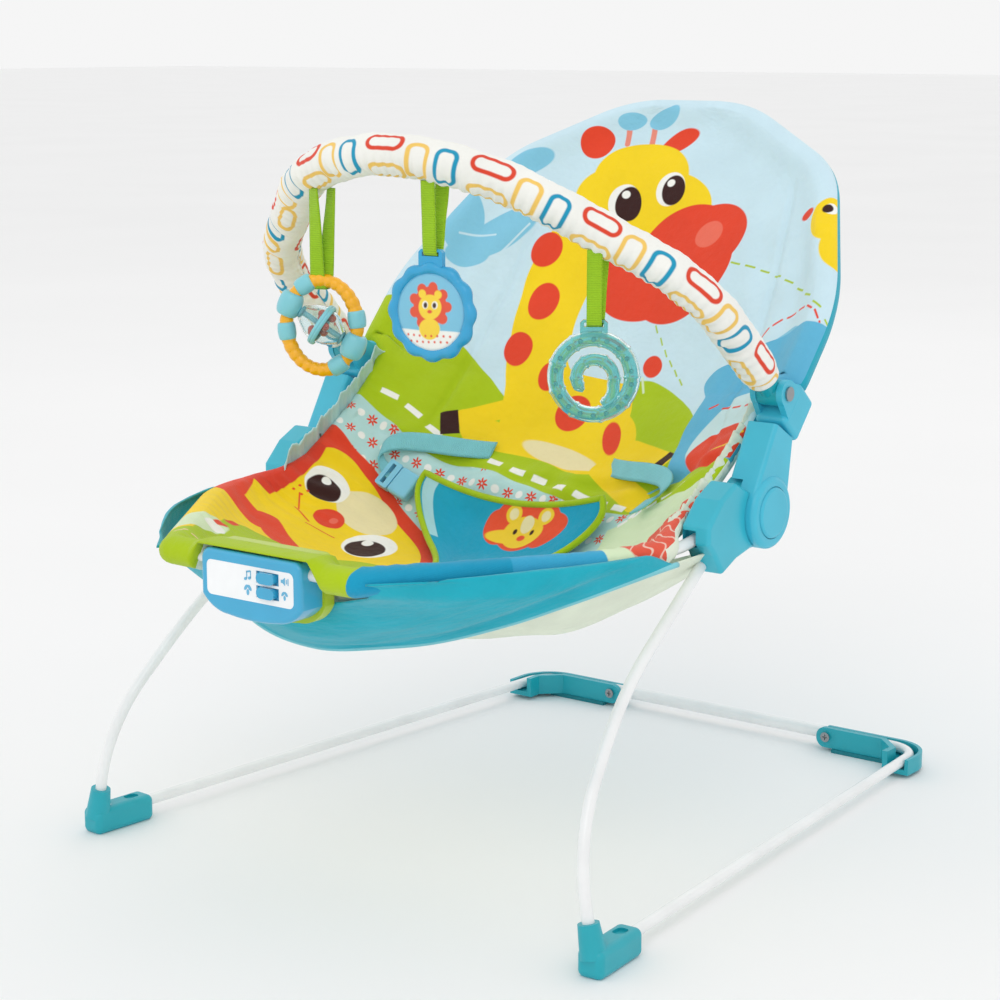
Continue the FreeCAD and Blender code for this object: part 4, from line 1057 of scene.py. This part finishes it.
def make_crotch_pad():
    rows = smooth_line(PAD_ROWS, 60, 2)
    u = np.linspace(-1, 1, 71)[None, :]
    x = rows[:, 2:3] * u
    y = rows[:, 0:1] + 0 * u
    z = rows[:, 1:2] + rows[:, 3:4] * u * u
    grid = np.stack([x, y, z], 2)
    run = lengths(np.column_stack([rows[:, 0], rows[:, 1], 0 * rows[:, 0]]))
    a = 85.0 * u + 0 * x
    b = run[:, None] + 0 * x
    edge = np.minimum((1 - np.abs(u)) * rows[:, 2:3], np.minimum(b, run[-1] - b))
    puff = 1.6 * (1 - np.exp(-(edge / 7.0) ** 2)) + 0.7 * soft_noise(x, b,
                                                                     45) * (1 - np.exp(-(edge / 12.0) ** 2))
    top = grid + grid_normals(grid) * puff[..., None]
    top[..., 1] += FOOT_Y * 1000
    thick = 2.0 + 3.6 * (1 - np.exp(-(edge / 6.0) ** 2))
    border = np.vstack([grid[0], grid[1:, -1], grid[-1, -2::-1], grid[-2:0:-1, 0]])
    pad = padded_sheet("crotch_pad_cloth", top * 0.001, thick * 0.001, np.stack([a, b], 2) * 0.001)
    return pad, np.vstack([border, border[:1]])


def crotch_print():
    p = Print("crotch_print", "#0AA3C8")
    p.draw([("e", "#F0512C", 20, 98, 30, 24, 0), ("e", "#F0512C", -4, 92, 14, 15, 20), ("e", "#F0512C", 44,
                                                                                        92, 14, 15, -20),
            ("e", "#FBD431", 6, 104, 7, 7, 0), ("e", "#FBD431", 36, 104, 7, 7, 0), ("e", CREAM, 6, 104, 4,
                                                                                    4.4, 0),
            ("e", CREAM, 36, 104, 4, 4.4, 0), ("e", "#FBD431", 20, 90, 19, 13, 0), ("e", CREAM, 21, 97, 6, 7,
                                                                                    0),
            ("e", "#FBD431", 4, 86, 18, 6, 4), ("e", BROWN, 12, 91, 1.8, 2.2, 0), ("e", BROWN, 29, 91, 1.8,
                                                                                   2.2, 0),
            ("e", "#F0512C", 21, 86, 4, 2.4, 0)])
    p.fill("#A9DDEB", p.both(p.below(p.a, -69.0), p.below(-81.0, p.a), p.below(70.0, p.b)))
    p.weave(p.uv(), 0.0011)
    p.vary(p.uv(), 0.04, 0.05)
    p.cloth(0.75, 0.2)
    return p.material


pad_cloth, pad_border = make_crotch_pad()
CROTCH = crotch_print()
add_piece(pad_cloth, "base", [CROTCH, CROTCH], ["crotch_pad"])
pad_border[:, 2] -= 1.2
add_piece(cloth_tube("crotch_binding", pad_border, 2.5), "base", LIME_BINDING)

STRAP = [(111.5, 203.2, 247.8), (121, 205, 252), (129, 212, 262), (122, 222, 268), (100, 232, 267.5),
         (78, 240, 265),
         (60, 249, 263.5), (53, 254, 263)]
STRAP_SIDE = [(3, 5.5, 4), (3, 5.5, 4), (2, 5.5, 4), (1, 4, 5), (0, 4, 6), (0, 4.4, 5.6), (0, 4.8, 5.2),
              (0, 4.8, 5.2)]
for name, sign in (("waist_webbing_right", -1), ("waist_webbing_left", 1)):
    mirror = np.array([sign, 1, 1])
    line = smooth_line(np.hstack([np.array(STRAP, float) * mirror, np.array(STRAP_SIDE, float) * mirror]), 50,
                       3)
    strap = ribbon(name, line[:, :3], line[:, 3:], 15.0, 1.4)
    strap.data.materials.append(AQUA_WEB)
    strap.data.materials.append(AQUA_WEB)
    if sign < 0:
        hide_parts("waist_straps")
    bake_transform(strap)


def wing_elastic(name, sign, rise, cloth):
    """Gathered band along the loose edge of the side wing; rise is its height above that edge."""
    pick = side_line[(side_line[:, 1] > 138) & (side_line[:, 1] < 275) & (side_line[:, 0] < 178)]
    line = resample(pick, 200)
    run = lengths(line)[:, None]
    drop = np.linspace(0, 1, 13)[None, :]
    wave = soft_noise(run, 0 * run, 6.0) * 0.9
    shape = np.sin(math.pi * drop)
    fade = np.minimum(1, np.minimum(run, run[-1] - run) / 14.0)
    x = np.minimum(168.5 + 4.5 * shape + 0.9 * wave * shape, 174.6) * sign
    y = line[:, 1:2] + (3.0 - 9.0 * (1 - drop)) * fade
    z = line[:, 2:3] + fade * (rise - (rise + 11.0) * drop + 1.1 * wave * (1 - drop))
    grid = np.stack(np.broadcast_arrays(x, y, z), 2)
    uv = np.stack(np.broadcast_arrays(drop * 26.0, run), 2)
    band = sheet_object(name, grid, uv, 0.9)
    for _ in range(2):
        band.data.materials.append(cloth)
    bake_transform(band)


wing_elastic("wing_elastic_left", 1, 5.0, CREAM_CLOTH)
wing_elastic("wing_elastic_right", -1, 16.0, plain_cloth("aqua_gather", "#BFE2E4"))


# ---------------------------------------------------------------- toy bar sleeve
BAR_POINTS = [on_bar(190.2, 12), on_bar(186, 116), on_bar(91, 213), on_bar(33, 240)]
BAR_POINTS += [p * np.array([-1, 1, 1]) for p in BAR_POINTS[::-1]]
bar_line = rod_line(BAR_POINTS, [105, 125, 150, 150, 125, 105])
SLEEVE_INSET = 4.5
SLEEVE_R = 14.2


def make_sleeve():
    line = resample(bar_line, 900)
    run = lengths(line)
    line = resample(line[(run > SLEEVE_INSET) & (run < run[-1] - SLEEVE_INSET)], 420)
    along = lengths(line)[:, None]
    around = 56
    turn = circle(around)[None, :]
    low = np.exp(-((turn - 1.5 * math.pi) / 0.75) ** 2)
    gather = np.sin(2 * math.pi * along / 7.5 + 1.3 * np.sin(along / 17.0)) * 0.75 * (0.22 + low)
    soft = 0.35 * soft_noise(along + 0 * turn, turn * 14.0 + 0 * along, 30)
    end = 1 - 0.16 * np.exp(-(np.minimum(along, along[-1] - along) / 9.0) ** 2)
    radius = (SLEEVE_R + gather + soft - 0.9 * low) * end
    grid = tube_grid(line, radius, around, up=(0, 1, 0)) * 0.001
    grid[..., 1] += FOOT_Y
    uv = np.stack(np.broadcast_arrays(turn * SLEEVE_R, along), 2) * 0.001
    return tube_object("toy_bar_cloth", grid, uv)


def link_print():
    """White cloth with rings of rounded links, some along and some across the bar."""
    p = Print("link_print", "#F6F6F0")
    side = 2 * math.pi * SLEEVE_R / 2
    p.v = p.wobble(p.plain, 22.0, 1.4)
    a, b = p.split(p.v)
    cell = p.math("MULTIPLY", p.math("FRACT", p.math("DIVIDE", p.math("ADD", a, LINK_PHASE), side)), side)
    row = p.math("FLOOR", p.math("DIVIDE", p.math("ADD", a, LINK_PHASE), side))
    shifted = p.math("ADD", b, p.math("MULTIPLY", row, 31.0))
    step = p.math("MULTIPLY", p.math("FRACT", p.math("DIVIDE", shifted, 74.0)), 74.0)
    for color, x, y, half_x, half_y in (("#1E9AC0", 0.50, 11, 14, 7.6), ("#F7CC68", 0.50, 31, 14, 8.0),
                                        ("#E2472E", 0.24, 56, 6.6, 14), ("#F7CC68", 0.74, 55, 7.2, 14.5)):
        corner = 6.4
        dx = p.math("ABSOLUTE", p.math("SUBTRACT", cell, x * side))
        dy = p.math("ABSOLUTE", p.math("SUBTRACT", step, y))
        dx = p.math("MAXIMUM", p.math("SUBTRACT", dx, half_x - corner), 0.0)
        dy = p.math("MAXIMUM", p.math("SUBTRACT", dy, half_y - corner), 0.0)
        far = p.math("SQRT", p.math("ADD", p.math("MULTIPLY", dx, dx), p.math("MULTIPLY", dy, dy)))
        p.fill(color, p.below(p.math("ABSOLUTE", p.math("SUBTRACT", far, corner - 1.3)), 1.5))
    p.weave(p.uv(), 0.0010)
    p.vary(p.uv(), 0.04, 0.04)
    p.cloth(0.8, 0.15)
    return p.material


LINK_PHASE = 10.0
sleeve = add_piece(make_sleeve(), "toy_bar", link_print(), ["toy_bar_sleeve"])


# ---------------------------------------------------------------- hanging toys
TOYS = {  # bar point, direction of the bar, eye height, turn of the face
    "rattle": ((-71.9, -136.7, 479.8), (-0.901, 0.321), 411.3, 30.0),
    "disc": ((34.1, -147.2, 489.3), (-0.973, -0.170), 428.8, 8.0),
    "teether": ((130.8, -100.1, 446.5), (-0.700, -0.529), 385.0, 34.0),
}


def toy_frame(name):
    """Eye of the toy and its own axes: across the face, out of the face towards its back, and up."""
    hinge, _, eye_z, turn = TOYS[name]
    c, s = math.cos(math.radians(turn)), math.sin(math.radians(turn))
    return np.array([hinge[0], hinge[1], eye_z]), np.array([[c, s, 0], [-s, c, 0], [0, 0, 1.0]])


def place_toy(name, local):
    """Toy points in millimetres, with the eye at the origin, to metres in the row frame."""
    eye, axes = toy_frame(name)
    return (eye + local @ axes) * 0.001


def toy_ring(name, toy, line, radius, around=20, closed=True):
    """A round bar along a line in the toy's own frame; radius may change from point to point."""
    line = np.array(line, float)
    after, before = np.roll(line, -1, 0), np.roll(line, 1, 0)
    if not closed:
        after[-1], before[0] = line[-1] * 2 - line[-2], line[0] * 2 - line[1]
    tangent = after - before
    tangent /= np.linalg.norm(tangent, axis=1, keepdims=True)
    side = np.tile([0, 1.0, 0], (len(line), 1))
    out = np.cross(tangent, side)
    out /= np.linalg.norm(out, axis=1, keepdims=True)
    side = np.cross(out, tangent)
    turn = circle(around)
    radius = np.broadcast_to(np.asarray(radius, float).reshape(-1, 1), (len(line), around))[..., None]
    grid = (line[:, None]
            + (np.cos(turn)[None, :, None] * out[:, None] + np.sin(turn)[None, :, None] * side[:, None])
            * radius)
    shape = grid.shape
    grid = place_toy(toy, grid.reshape(-1, 3)).reshape(shape)
    if not closed:
        return tube_object(name, grid)
    rows, cols = shape[:2]
    verts = grid.reshape(-1, 3)
    faces = []
    for i in range(rows):
        j = (i + 1) % rows
        for k in range(cols):
            m = (k + 1) % cols
            faces.append((i * cols + k, i * cols + m, j * cols + m, j * cols + k))
    return object_from(name, verts, faces)


def turned_solid(name, toy, centre, axis, profile, around=32):
    """A solid of revolution; profile is a list of (distance along the axis, radius)."""
    axis = np.array(axis, float) / np.linalg.norm(axis)
    line = np.array(centre, float) + np.array([[d] for d, _ in profile]) * axis
    first = np.cross(axis, (0, 1.0, 0.001))
    first /= np.linalg.norm(first)
    second = np.cross(axis, first)
    turn = circle(around)
    radius = np.array([r for _, r in profile])[:, None, None]
    grid = line[:, None] + (np.cos(turn)[None, :, None] * first + np.sin(turn)[None, :,
                                                                               None] * second) * radius
    shape = grid.shape
    return tube_object(name, place_toy(toy, grid.reshape(-1, 3)).reshape(shape))


def join(name, parts):
    """Several meshes as one object."""
    mesh = bmesh.new()
    for part in parts:
        mesh.from_mesh(part.data)
        data = part.data
        bpy.data.objects.remove(part)
        bpy.data.meshes.remove(data)
    data = bpy.data.meshes.new(name)
    mesh.to_mesh(data)
    mesh.free()
    obj = bpy.data.objects.new(name, data)
    bpy.context.scene.collection.objects.link(obj)
    return obj


def hanging_loop(toy, bottom):
    """Two layers of lime webbing from under the sleeve, round the toy's eye."""
    hinge, along, eye_z, turn = TOYS[toy]
    along = np.array([along[0], along[1], 0.0])
    along /= np.linalg.norm(along)
    if along[0] < 0:
        along = -along
    face = np.array([math.cos(math.radians(turn)), math.sin(math.radians(turn)), 0.0])
    front = np.array([along[1], -along[0], 0.0])
    hinge = np.array(hinge)
    low = np.array([hinge[0], hinge[1], eye_z + bottom])
    top_z = hinge[2] - 12.6
    points, sides = [], []
    for shift, z, mix in ((-4.5, top_z, 0), (-4.0, top_z - 12, 0.2), (-3.2, (top_z + low[2]) / 2, 0.5),
                          (-2.6, low[2] + 5, 0.9), (-1.6, low[2] + 0.8, 1), (0, low[2], 1),
                          (1.6, low[2] + 0.8, 1),
                          (2.6, low[2] + 5, 0.9), (3.6, (top_z + low[2]) / 2, 0.5), (5.0, top_z - 12, 0.1),
                          (5.5, top_z, 0)):
        points.append(np.array([hinge[0], hinge[1], z]) - front * shift + along * (0.9 * max(shift, 0)))
        sides.append(along * (1 - mix) + face * mix)
    line = smooth_line(np.hstack([np.array(points), np.array(sides)]), 60, 2)
    line[:, 1] -= FOOT_Y * 1000
    loop = ribbon(toy + "_webbing", line[:, :3], line[:, 3:], 10.0, 1.1)
    add_piece(loop, toy, [LIME_WEB, LIME_WEB], [toy + "_loop"])


ORANGE = plastic("ring_orange_plastic", "#FBB40E", 0.3, 0.3).material
CLAMP = plastic("clamp_aqua_plastic", "#82CDDA", 0.35, 0.2).material
DISC_BLUE = plastic("disc_blue_plastic", "#2FA4D6", 0.35, 0.2).material

ring_turn = circle(360)
centre = np.array([0, 0, -38.0])
ring_line = np.column_stack([0.8 * 31 * np.cos(ring_turn), 0 * ring_turn, 31 * np.sin(ring_turn)]) + centre
bumps = 4.3 + 0.55 * np.abs(np.sin(ring_turn * 15)) + 0.25 * np.sin(ring_turn * 4)
add_piece(toy_ring("rattle_ring_bumps", "rattle", ring_line, bumps), "rattle", ORANGE,
          ["rattle_ring"])
axle_way = np.array([math.cos(math.radians(33)), 0, -math.sin(math.radians(33))])


def clamp_beads():
    """Aqua beads threaded on the ring beside both ends of the axle, and the axle itself."""
    parts = [turned_solid("axle", "rattle", centre, axle_way, [(d, 2.0) for d in (-25, -10, 0, 10, 25)], 16)]
    for side in (-1, 1):
        base = math.atan2(-side * math.sin(math.radians(33)) / 31,
                          side * math.cos(math.radians(33)) / (0.8 * 31))
        for shift, radius, half in ((-0.62, 6.4, 6.0), (0.0, 8.6, 8.5), (0.62, 6.4, 6.0)):
            angle = base + shift
            spot = np.array([0.8 * 31 * math.cos(angle), 0, 31 * math.sin(angle)]) + centre
            way = np.array([-0.8 * 31 * math.sin(angle), 0, 31 * math.cos(angle)])
            profile = [(half * math.sin(t), 4.7 + (radius - 4.7) * math.cos(t) ** 0.7 if abs(t) < 1.5
                        else 4.7)
                       for t in np.linspace(-1.56, 1.56, 17)]
            parts.append(turned_solid("bead", "rattle", spot, way, profile, 28))
        parts.append(turned_solid("foot", "rattle", centre + axle_way * side * 18.0, axle_way * side,
                                  [(0, 3.0), (0.6, 4.4), (3.5, 5.6), (5.5, 7.4), (7.0, 6.0)], 28))
    return join("rattle_clamps", parts)


add_piece(clamp_beads(), "rattle", CLAMP, ["rattle_axle"])
shell = [(-17.2, 4.4), (-16.5, 5.2), (-12, 8.6), (-7, 11.6), (-3, 12.7), (0, 13.0), (3, 12.7), (7, 11.6),
         (12, 8.6),
         (16.5, 5.2), (17.2, 4.4)]
inner = [(d * 0.955, max(r - 1.1, 2.2)) for d, r in shell[::-1]]
profile = shell + inner + [shell[0]]
clear = Paint("clear_barrel", "#F1FBFB")
clear.shader.inputs["Transmission Weight"].default_value = 0.95
clear.shader.inputs["Roughness"].default_value = 0.04
clear.shader.inputs["IOR"].default_value = 1.2
clear.vary(clear.object_space(), 0.02, 0.02)
add_piece(turned_solid("rattle_barrel_shell", "rattle", centre, axle_way, profile, 40), "rattle_barrel",
          clear.material, ["rattle_barrel"])
hoop = join("rattle_barrel_hoop", [turned_solid("hoop", "rattle", centre, axle_way,
            [(2.6 * math.sin(t), 13.9 + 1.5 * math.cos(t)) for t in np.linspace(0, 2 * math.pi, 17)], 40),
            turned_solid("cap", "rattle", centre - axle_way * 17.4, axle_way, [(0, 2.2), (0.2, 4.6),
                                                                               (2.2, 4.2), (2.6, 2.2)], 24),
            turned_solid("cap", "rattle", centre + axle_way * 14.8, axle_way, [(0, 2.2), (0.2, 4.2),
                                                                               (2.2, 4.6), (2.6, 2.2)], 24)])
add_piece(hoop, "rattle_barrel", CLAMP)
hanging_loop("rattle", -13.2)

# disc: scalloped rim with a printed face
scallop = circle(480)
rim_radius = 28.6 + 0.55 * np.cos(scallop * 12)
rim_line = np.column_stack([rim_radius * np.cos(scallop), 0 * scallop, rim_radius * np.sin(scallop)]) + centre
rim = toy_ring("rim", "disc", rim_line, 3.9 + 0.4 * np.cos(scallop * 12), 20)


def eye_piece(toy):
    """Small flat eye over the toy, with a slot for the webbing."""
    outline = [(-9, -8), (-9, 1.2), (-7, 3.2), (7, 3.2), (9, 1.2), (9, -8)]
    slot = [(-6.4, -1.4), (-6.4, 1.4), (6.4, 1.4), (6.4, -1.4)]
    mesh = bmesh.new()
    loops = []
    for ring in (outline, slot):
        verts = [mesh.verts.new((x, -2.1, z)) for x, z in ring]
        loops.append([mesh.edges.new((verts[i], verts[(i + 1) % len(verts)])) for i in range(len(verts))])
    bmesh.ops.triangle_fill(mesh, use_beauty=True, edges=loops[0] + loops[1])
    grown = bmesh.ops.extrude_face_region(mesh, geom=mesh.faces[:])
    for item in grown["geom"]:
        if isinstance(item, bmesh.types.BMVert):
            item.co.y = 2.1
    bmesh.ops.recalc_face_normals(mesh, faces=mesh.faces)
    data = bpy.data.meshes.new("eye")
    mesh.to_mesh(data)
    mesh.free()
    points = place_toy(toy, np.array([v.co for v in data.vertices]))
    for vert, point in zip(data.vertices, points):
        vert.co = point
    obj = bpy.data.objects.new("eye", data)
    bpy.context.scene.collection.objects.link(obj)
    return obj


add_piece(join("disc_rim", [rim, eye_piece("disc")]), "disc", DISC_BLUE, ["disc_frame"])


def disc_face():
    """Slightly domed printed disc, the same on both sides."""
    rings, around = 12, 64
    turn = circle(around)
    verts, uv, faces = [], [], []
    for side in (-1, 1):
        start = len(verts)
        for i in range(rings + 1):
            r = DISC_RADIUS * i / rings
            for t in turn:
                verts.append((r * math.cos(t), side * (3.2 - 1.2 * (r / DISC_RADIUS) ** 2), r * math.sin(t)
                              - 38.0))
                uv.append((-side * r * math.cos(t) * 0.001, r * math.sin(t) * 0.001))
        faces += grid_faces(rings + 1, around, start, flip=side > 0, wrap=True)
    last = (rings + 1) * around
    for k in range(around):
        m = (k + 1) % around
        a, b = rings * around + k, rings * around + m
        faces.append((a, b, b + last, a + last))
    points = place_toy("disc", np.array(verts))
    return object_from("disc_picture", points, faces, np.array(uv))


def disc_print():
    p = Print("disc_print_paint", "#7CC4E2")
    p.fill("#F7F7F2", p.both(p.below(p.b, -12.0)))
    p.draw([("e", "#E8502E", 0, 4, 12.5, 13, 0)] +
           [("e", "#E8502E", 12.5 * math.cos(math.radians(40 * k)), 4 + 12.5 * math.sin(math.radians(40 * k)),
             3.6, 3.6, 0)
            for k in range(9)])
    p.draw([("e", "#FCD733", 0, -11, 8, 7, 0), ("e", "#FCD733", -6, 12, 2.8, 2.8, 0), ("e", "#FCD733", 6, 12,
                                                                                       2.8, 2.8, 0),
            ("e", "#FCD733", 0, 3.5, 8.6, 8.4, 0), ("e", WHITE, -3.6, 5, 2.2, 2.6, 0), ("e", WHITE, 3.6, 5,
                                                                                        2.2, 2.6, 0),
            ("e", BROWN, -3.4, 4.8, 1.4, 1.9, 0), ("e", BROWN, 3.4, 4.8, 1.4, 1.9, 0),
            ("e", "#E8502E", 0, 0.6, 1.8, 1.2, 0)])
    for k in range(16):
        x, z = -17 + 4.6 * (k % 8) + 2.3 * (k // 8), -15.5 - 4.0 * (k // 8)
        p.draw([("e", "#E8502E", x, z, 0.8, 0.8, 0)])
    p.shader.inputs["Roughness"].default_value = 0.35
    p.shader.inputs["Coat Weight"].default_value = 0.4
    p.vary(p.uv(), 0.01, 0.02)
    return p.material


add_piece(disc_face(), "disc", disc_print(), ["disc_insert"])
hanging_loop("disc", -0.7)

# teether: translucent spiral with raised bands
gel = Paint("teether_gel_clear", "#86D8D8")
gel.shader.inputs["Transmission Weight"].default_value = 0.7
gel.shader.inputs["Roughness"].default_value = 0.16
gel.shader.inputs["IOR"].default_value = 1.36
gel.vary(gel.object_space(), 0.012, 0.08)
turns = circle(480)
outer = np.column_stack([25 * np.cos(turns), 0 * turns, 25 * np.sin(turns)]) + np.array([0, 0, -34.0])
band = np.exp(-(np.sin(turns * 4.5) / 0.22) ** 2)
coil = np.linspace(math.radians(-70), math.radians(232), 300)
reach = np.interp(coil, [coil[0], coil[0] + 0.9, coil[-1]], [19.5, 13.5, 10.5])
spiral = np.column_stack([reach * np.cos(coil), 0 * coil, reach * np.sin(coil)]) + np.array([0, 0, -35.0])
spiral_band = np.exp(-(np.sin(coil * 3.0) / 0.25) ** 2)
spiral_r = (4.2 + 0.7 * spiral_band) * np.minimum(1, 0.35 + (lengths(spiral)[-1] - lengths(spiral)) / 6.0)
studs = [turned_solid("stud", "teether", (25 * math.cos(t), -5.2, 25 * math.sin(t) - 34.0), (0, -1, 0),
                      [(0, 1.7), (0.8, 1.5), (1.2, 0.8), (1.3, 0.1)], 12)
         for t in circle(18) + math.radians(10)]
teether = join("teether_spiral", [toy_ring("ring", "teether", outer, 5.3 + 0.7 * band, 22),
                                  toy_ring("coil", "teether", spiral, spiral_r, 18, closed=False),
                                  eye_piece("teether")] + studs)
add_piece(teether, "teether", gel.material, ["teether_ring"])
hanging_loop("teether", -0.7)


# ---------------------------------------------------------------- music unit details
def flat_shapes(name, shapes, y, depth=0.25):
    """Thin raised shapes on the face panel; each is a list of (x, z) outlines in millimetres."""
    mesh = bmesh.new()
    for outline in shapes:
        face = mesh.faces.new([mesh.verts.new((x * 0.001, FOOT_Y + y * 0.001, z * 0.001)) for x,
                               z in outline])
        grown = bmesh.ops.extrude_face_region(mesh, geom=[face])
        for item in grown["geom"]:
            if isinstance(item, bmesh.types.BMVert):
                item.co.y -= depth * 0.001
    bmesh.ops.recalc_face_normals(mesh, faces=mesh.faces)
    data = bpy.data.meshes.new(name)
    mesh.to_mesh(data)
    mesh.free()
    obj = bpy.data.objects.new(name, data)
    bpy.context.scene.collection.objects.link(obj)
    return obj


def oval(x, z, rx, rz, turn=0.0, count=16):
    c, s = math.cos(math.radians(turn)), math.sin(math.radians(turn))
    points = [(rx * math.cos(t), rz * math.sin(t)) for t in circle(count)]
    return [(x + c * px - s * pz, z + s * px + c * pz) for px, pz in points]


def bar(x0, z0, x1, z1, width):
    dx, dz = x1 - x0, z1 - z0
    far = math.hypot(dx, dz)
    nx, nz = -dz / far * width / 2, dx / far * width / 2
    return [(x0 + nx, z0 + nz), (x1 + nx, z1 + nz), (x1 - nx, z1 - nz), (x0 - nx, z0 - nz)]


icons = [
    oval(-3.6, 232.4, 1.3, 1.0, 20), bar(-2.5, 232.6, -2.5, 237.2, 0.6), bar(-2.8, 237.0, 0.6, 237.8, 1.1),
    oval(-0.2, 233.2, 1.3, 1.0, 20), bar(0.8, 233.4, 0.8, 238.0, 0.6),
    [(26.6, 234.0), (28.0, 234.0), (30.0, 232.4), (30.0, 237.6), (28.0, 236.0), (26.6, 236.0)],
    bar(31.2, 233.6, 31.2, 236.4, 0.6), bar(32.6, 232.8, 32.6, 237.2, 0.6),
    oval(-3.4, 226.8, 2.2, 1.1, 55), oval(-0.2, 226.8, 2.2, 1.1, 125), oval(-1.8, 223.8, 1.1, 2.0, 0),
    oval(28.2, 227.0, 1.8, 0.9, 50), oval(30.8, 227.0, 1.8, 0.9, 130), oval(29.5, 224.4, 0.9, 1.6, 0),
]
ICON = plastic("icon_ink", "#6CB8DC", 0.5, 0.0).material
add_piece(flat_shapes("unit_icons", icons, -68.9), "base", ICON)

# ---------------------------------------------------------------- better finishes for the hard parts
FINISH = {
    "painted_rod": plastic("rod_paint", "#F1F2F2", 0.28, 0.5, 0.0012),
    "steel_tube": plastic("tube_paint", "#ECEDED", 0.3, 0.4, 0.0012),
    "teal_plastic": plastic("teal_shell", "#12A6B5", 0.42, 0.1),
    "light_teal_plastic": plastic("light_teal_shell", "#3DBBD6", 0.38, 0.15),
    "rubber": plastic("dark_teal_rubber", "#0C7C88", 0.7, 0.0, 0.0008),
    "steel": plastic("screw_steel", "#9A9DA0", 0.3, 0.0),
    "bar_core": plastic("bar_core_plastic", "#E4E6E6", 0.4, 0.0),
    "buckle_plastic": plastic("buckle_blue", "#7CC8E6", 0.32, 0.3),
    "unit_blue": plastic("unit_blue_shell", "#35A9D4", 0.28, 0.5, 0.0012),
    "unit_lime": plastic("unit_lime_shell", "#B4CC12", 0.35, 0.2),
    "panel_white": plastic("panel_white_gloss", "#F7F9FA", 0.25, 0.5),
    "battery": plastic("battery_wrap", "#3A3F46", 0.4, 0.0),
    "circuit": plastic("circuit_green", "#1E6B3C", 0.5, 0.0),
    "speaker_black": plastic("speaker_cone", "#1C1C1E", 0.6, 0.0),
    "bead": plastic("bead_red_gloss", "#E8523A", 0.25, 0.4),
}
FINISH["steel"].shader.inputs["Metallic"].default_value = 0.9
HUB = plastic("hub_shell", "#30B6CD", 0.36, 0.2).material
for obj in frame["nodes"].values():
    for slot in obj.material_slots:
        if slot.material and slot.material.name in FINISH:
            slot.material = HUB if obj.name.startswith("hub_") else FINISH[slot.material.name].material


# ---------------------------------------------------------------- stage, light and camera
def stage_set():
    floor = object_from("floor", [(-30, -30, 0), (30, -30, 0), (30, 30, 0), (-30, 30, 0)], [(0, 1, 2, 3)],
                        smooth=False)
    paint = Paint("pale_floor", "#F7F7F7")
    paint.shader.inputs["Roughness"].default_value = 0.75
    paint.vary(paint.object_space(), 0.7, 0.01)
    floor.data.materials.append(paint.material)
    world = bpy.data.worlds.new("studio")
    world.use_nodes = True
    world.node_tree.nodes["Background"].inputs["Color"].default_value = (1.0, 1.0, 1.0, 1.0)
    world.node_tree.nodes["Background"].inputs["Strength"].default_value = WORLD_STRENGTH
    bpy.context.scene.world = world
    for name, place, size, power in (("key_light", (1.4, -2.4, 2.6), 1.8, KEY_POWER),
                                     ("fill_light", (-2.6, -1.6, 1.6), 2.4, FILL_POWER),
                                     ("back_light", (-0.6, 2.4, 2.6), 2.0, BACK_POWER)):
        lamp = bpy.data.lights.new(name, "AREA")
        lamp.size = size
        lamp.energy = power
        obj = bpy.data.objects.new(name, lamp)
        obj.location = place
        obj.rotation_euler = (Vector((0, 0, 0.25)) - Vector(place)).to_track_quat("-Z", "Y").to_euler()
        bpy.context.scene.collection.objects.link(obj)
    camera = bpy.data.cameras.new("camera")
    camera.lens = 83.85
    camera.sensor_width = 36.0
    eye = bpy.data.objects.new("camera", camera)
    eye.location = (0.9908, -1.3339, 0.5693)
    eye.rotation_euler = (math.radians(90 - 11.3), 0, math.radians(37.2))
    bpy.context.scene.collection.objects.link(eye)
    bpy.context.scene.camera = eye
    bpy.context.scene.view_settings.view_transform = "Standard"


WORLD_STRENGTH = 0.92
KEY_POWER = 14.0
FILL_POWER = 3.0
BACK_POWER = 5.0
stage_set()
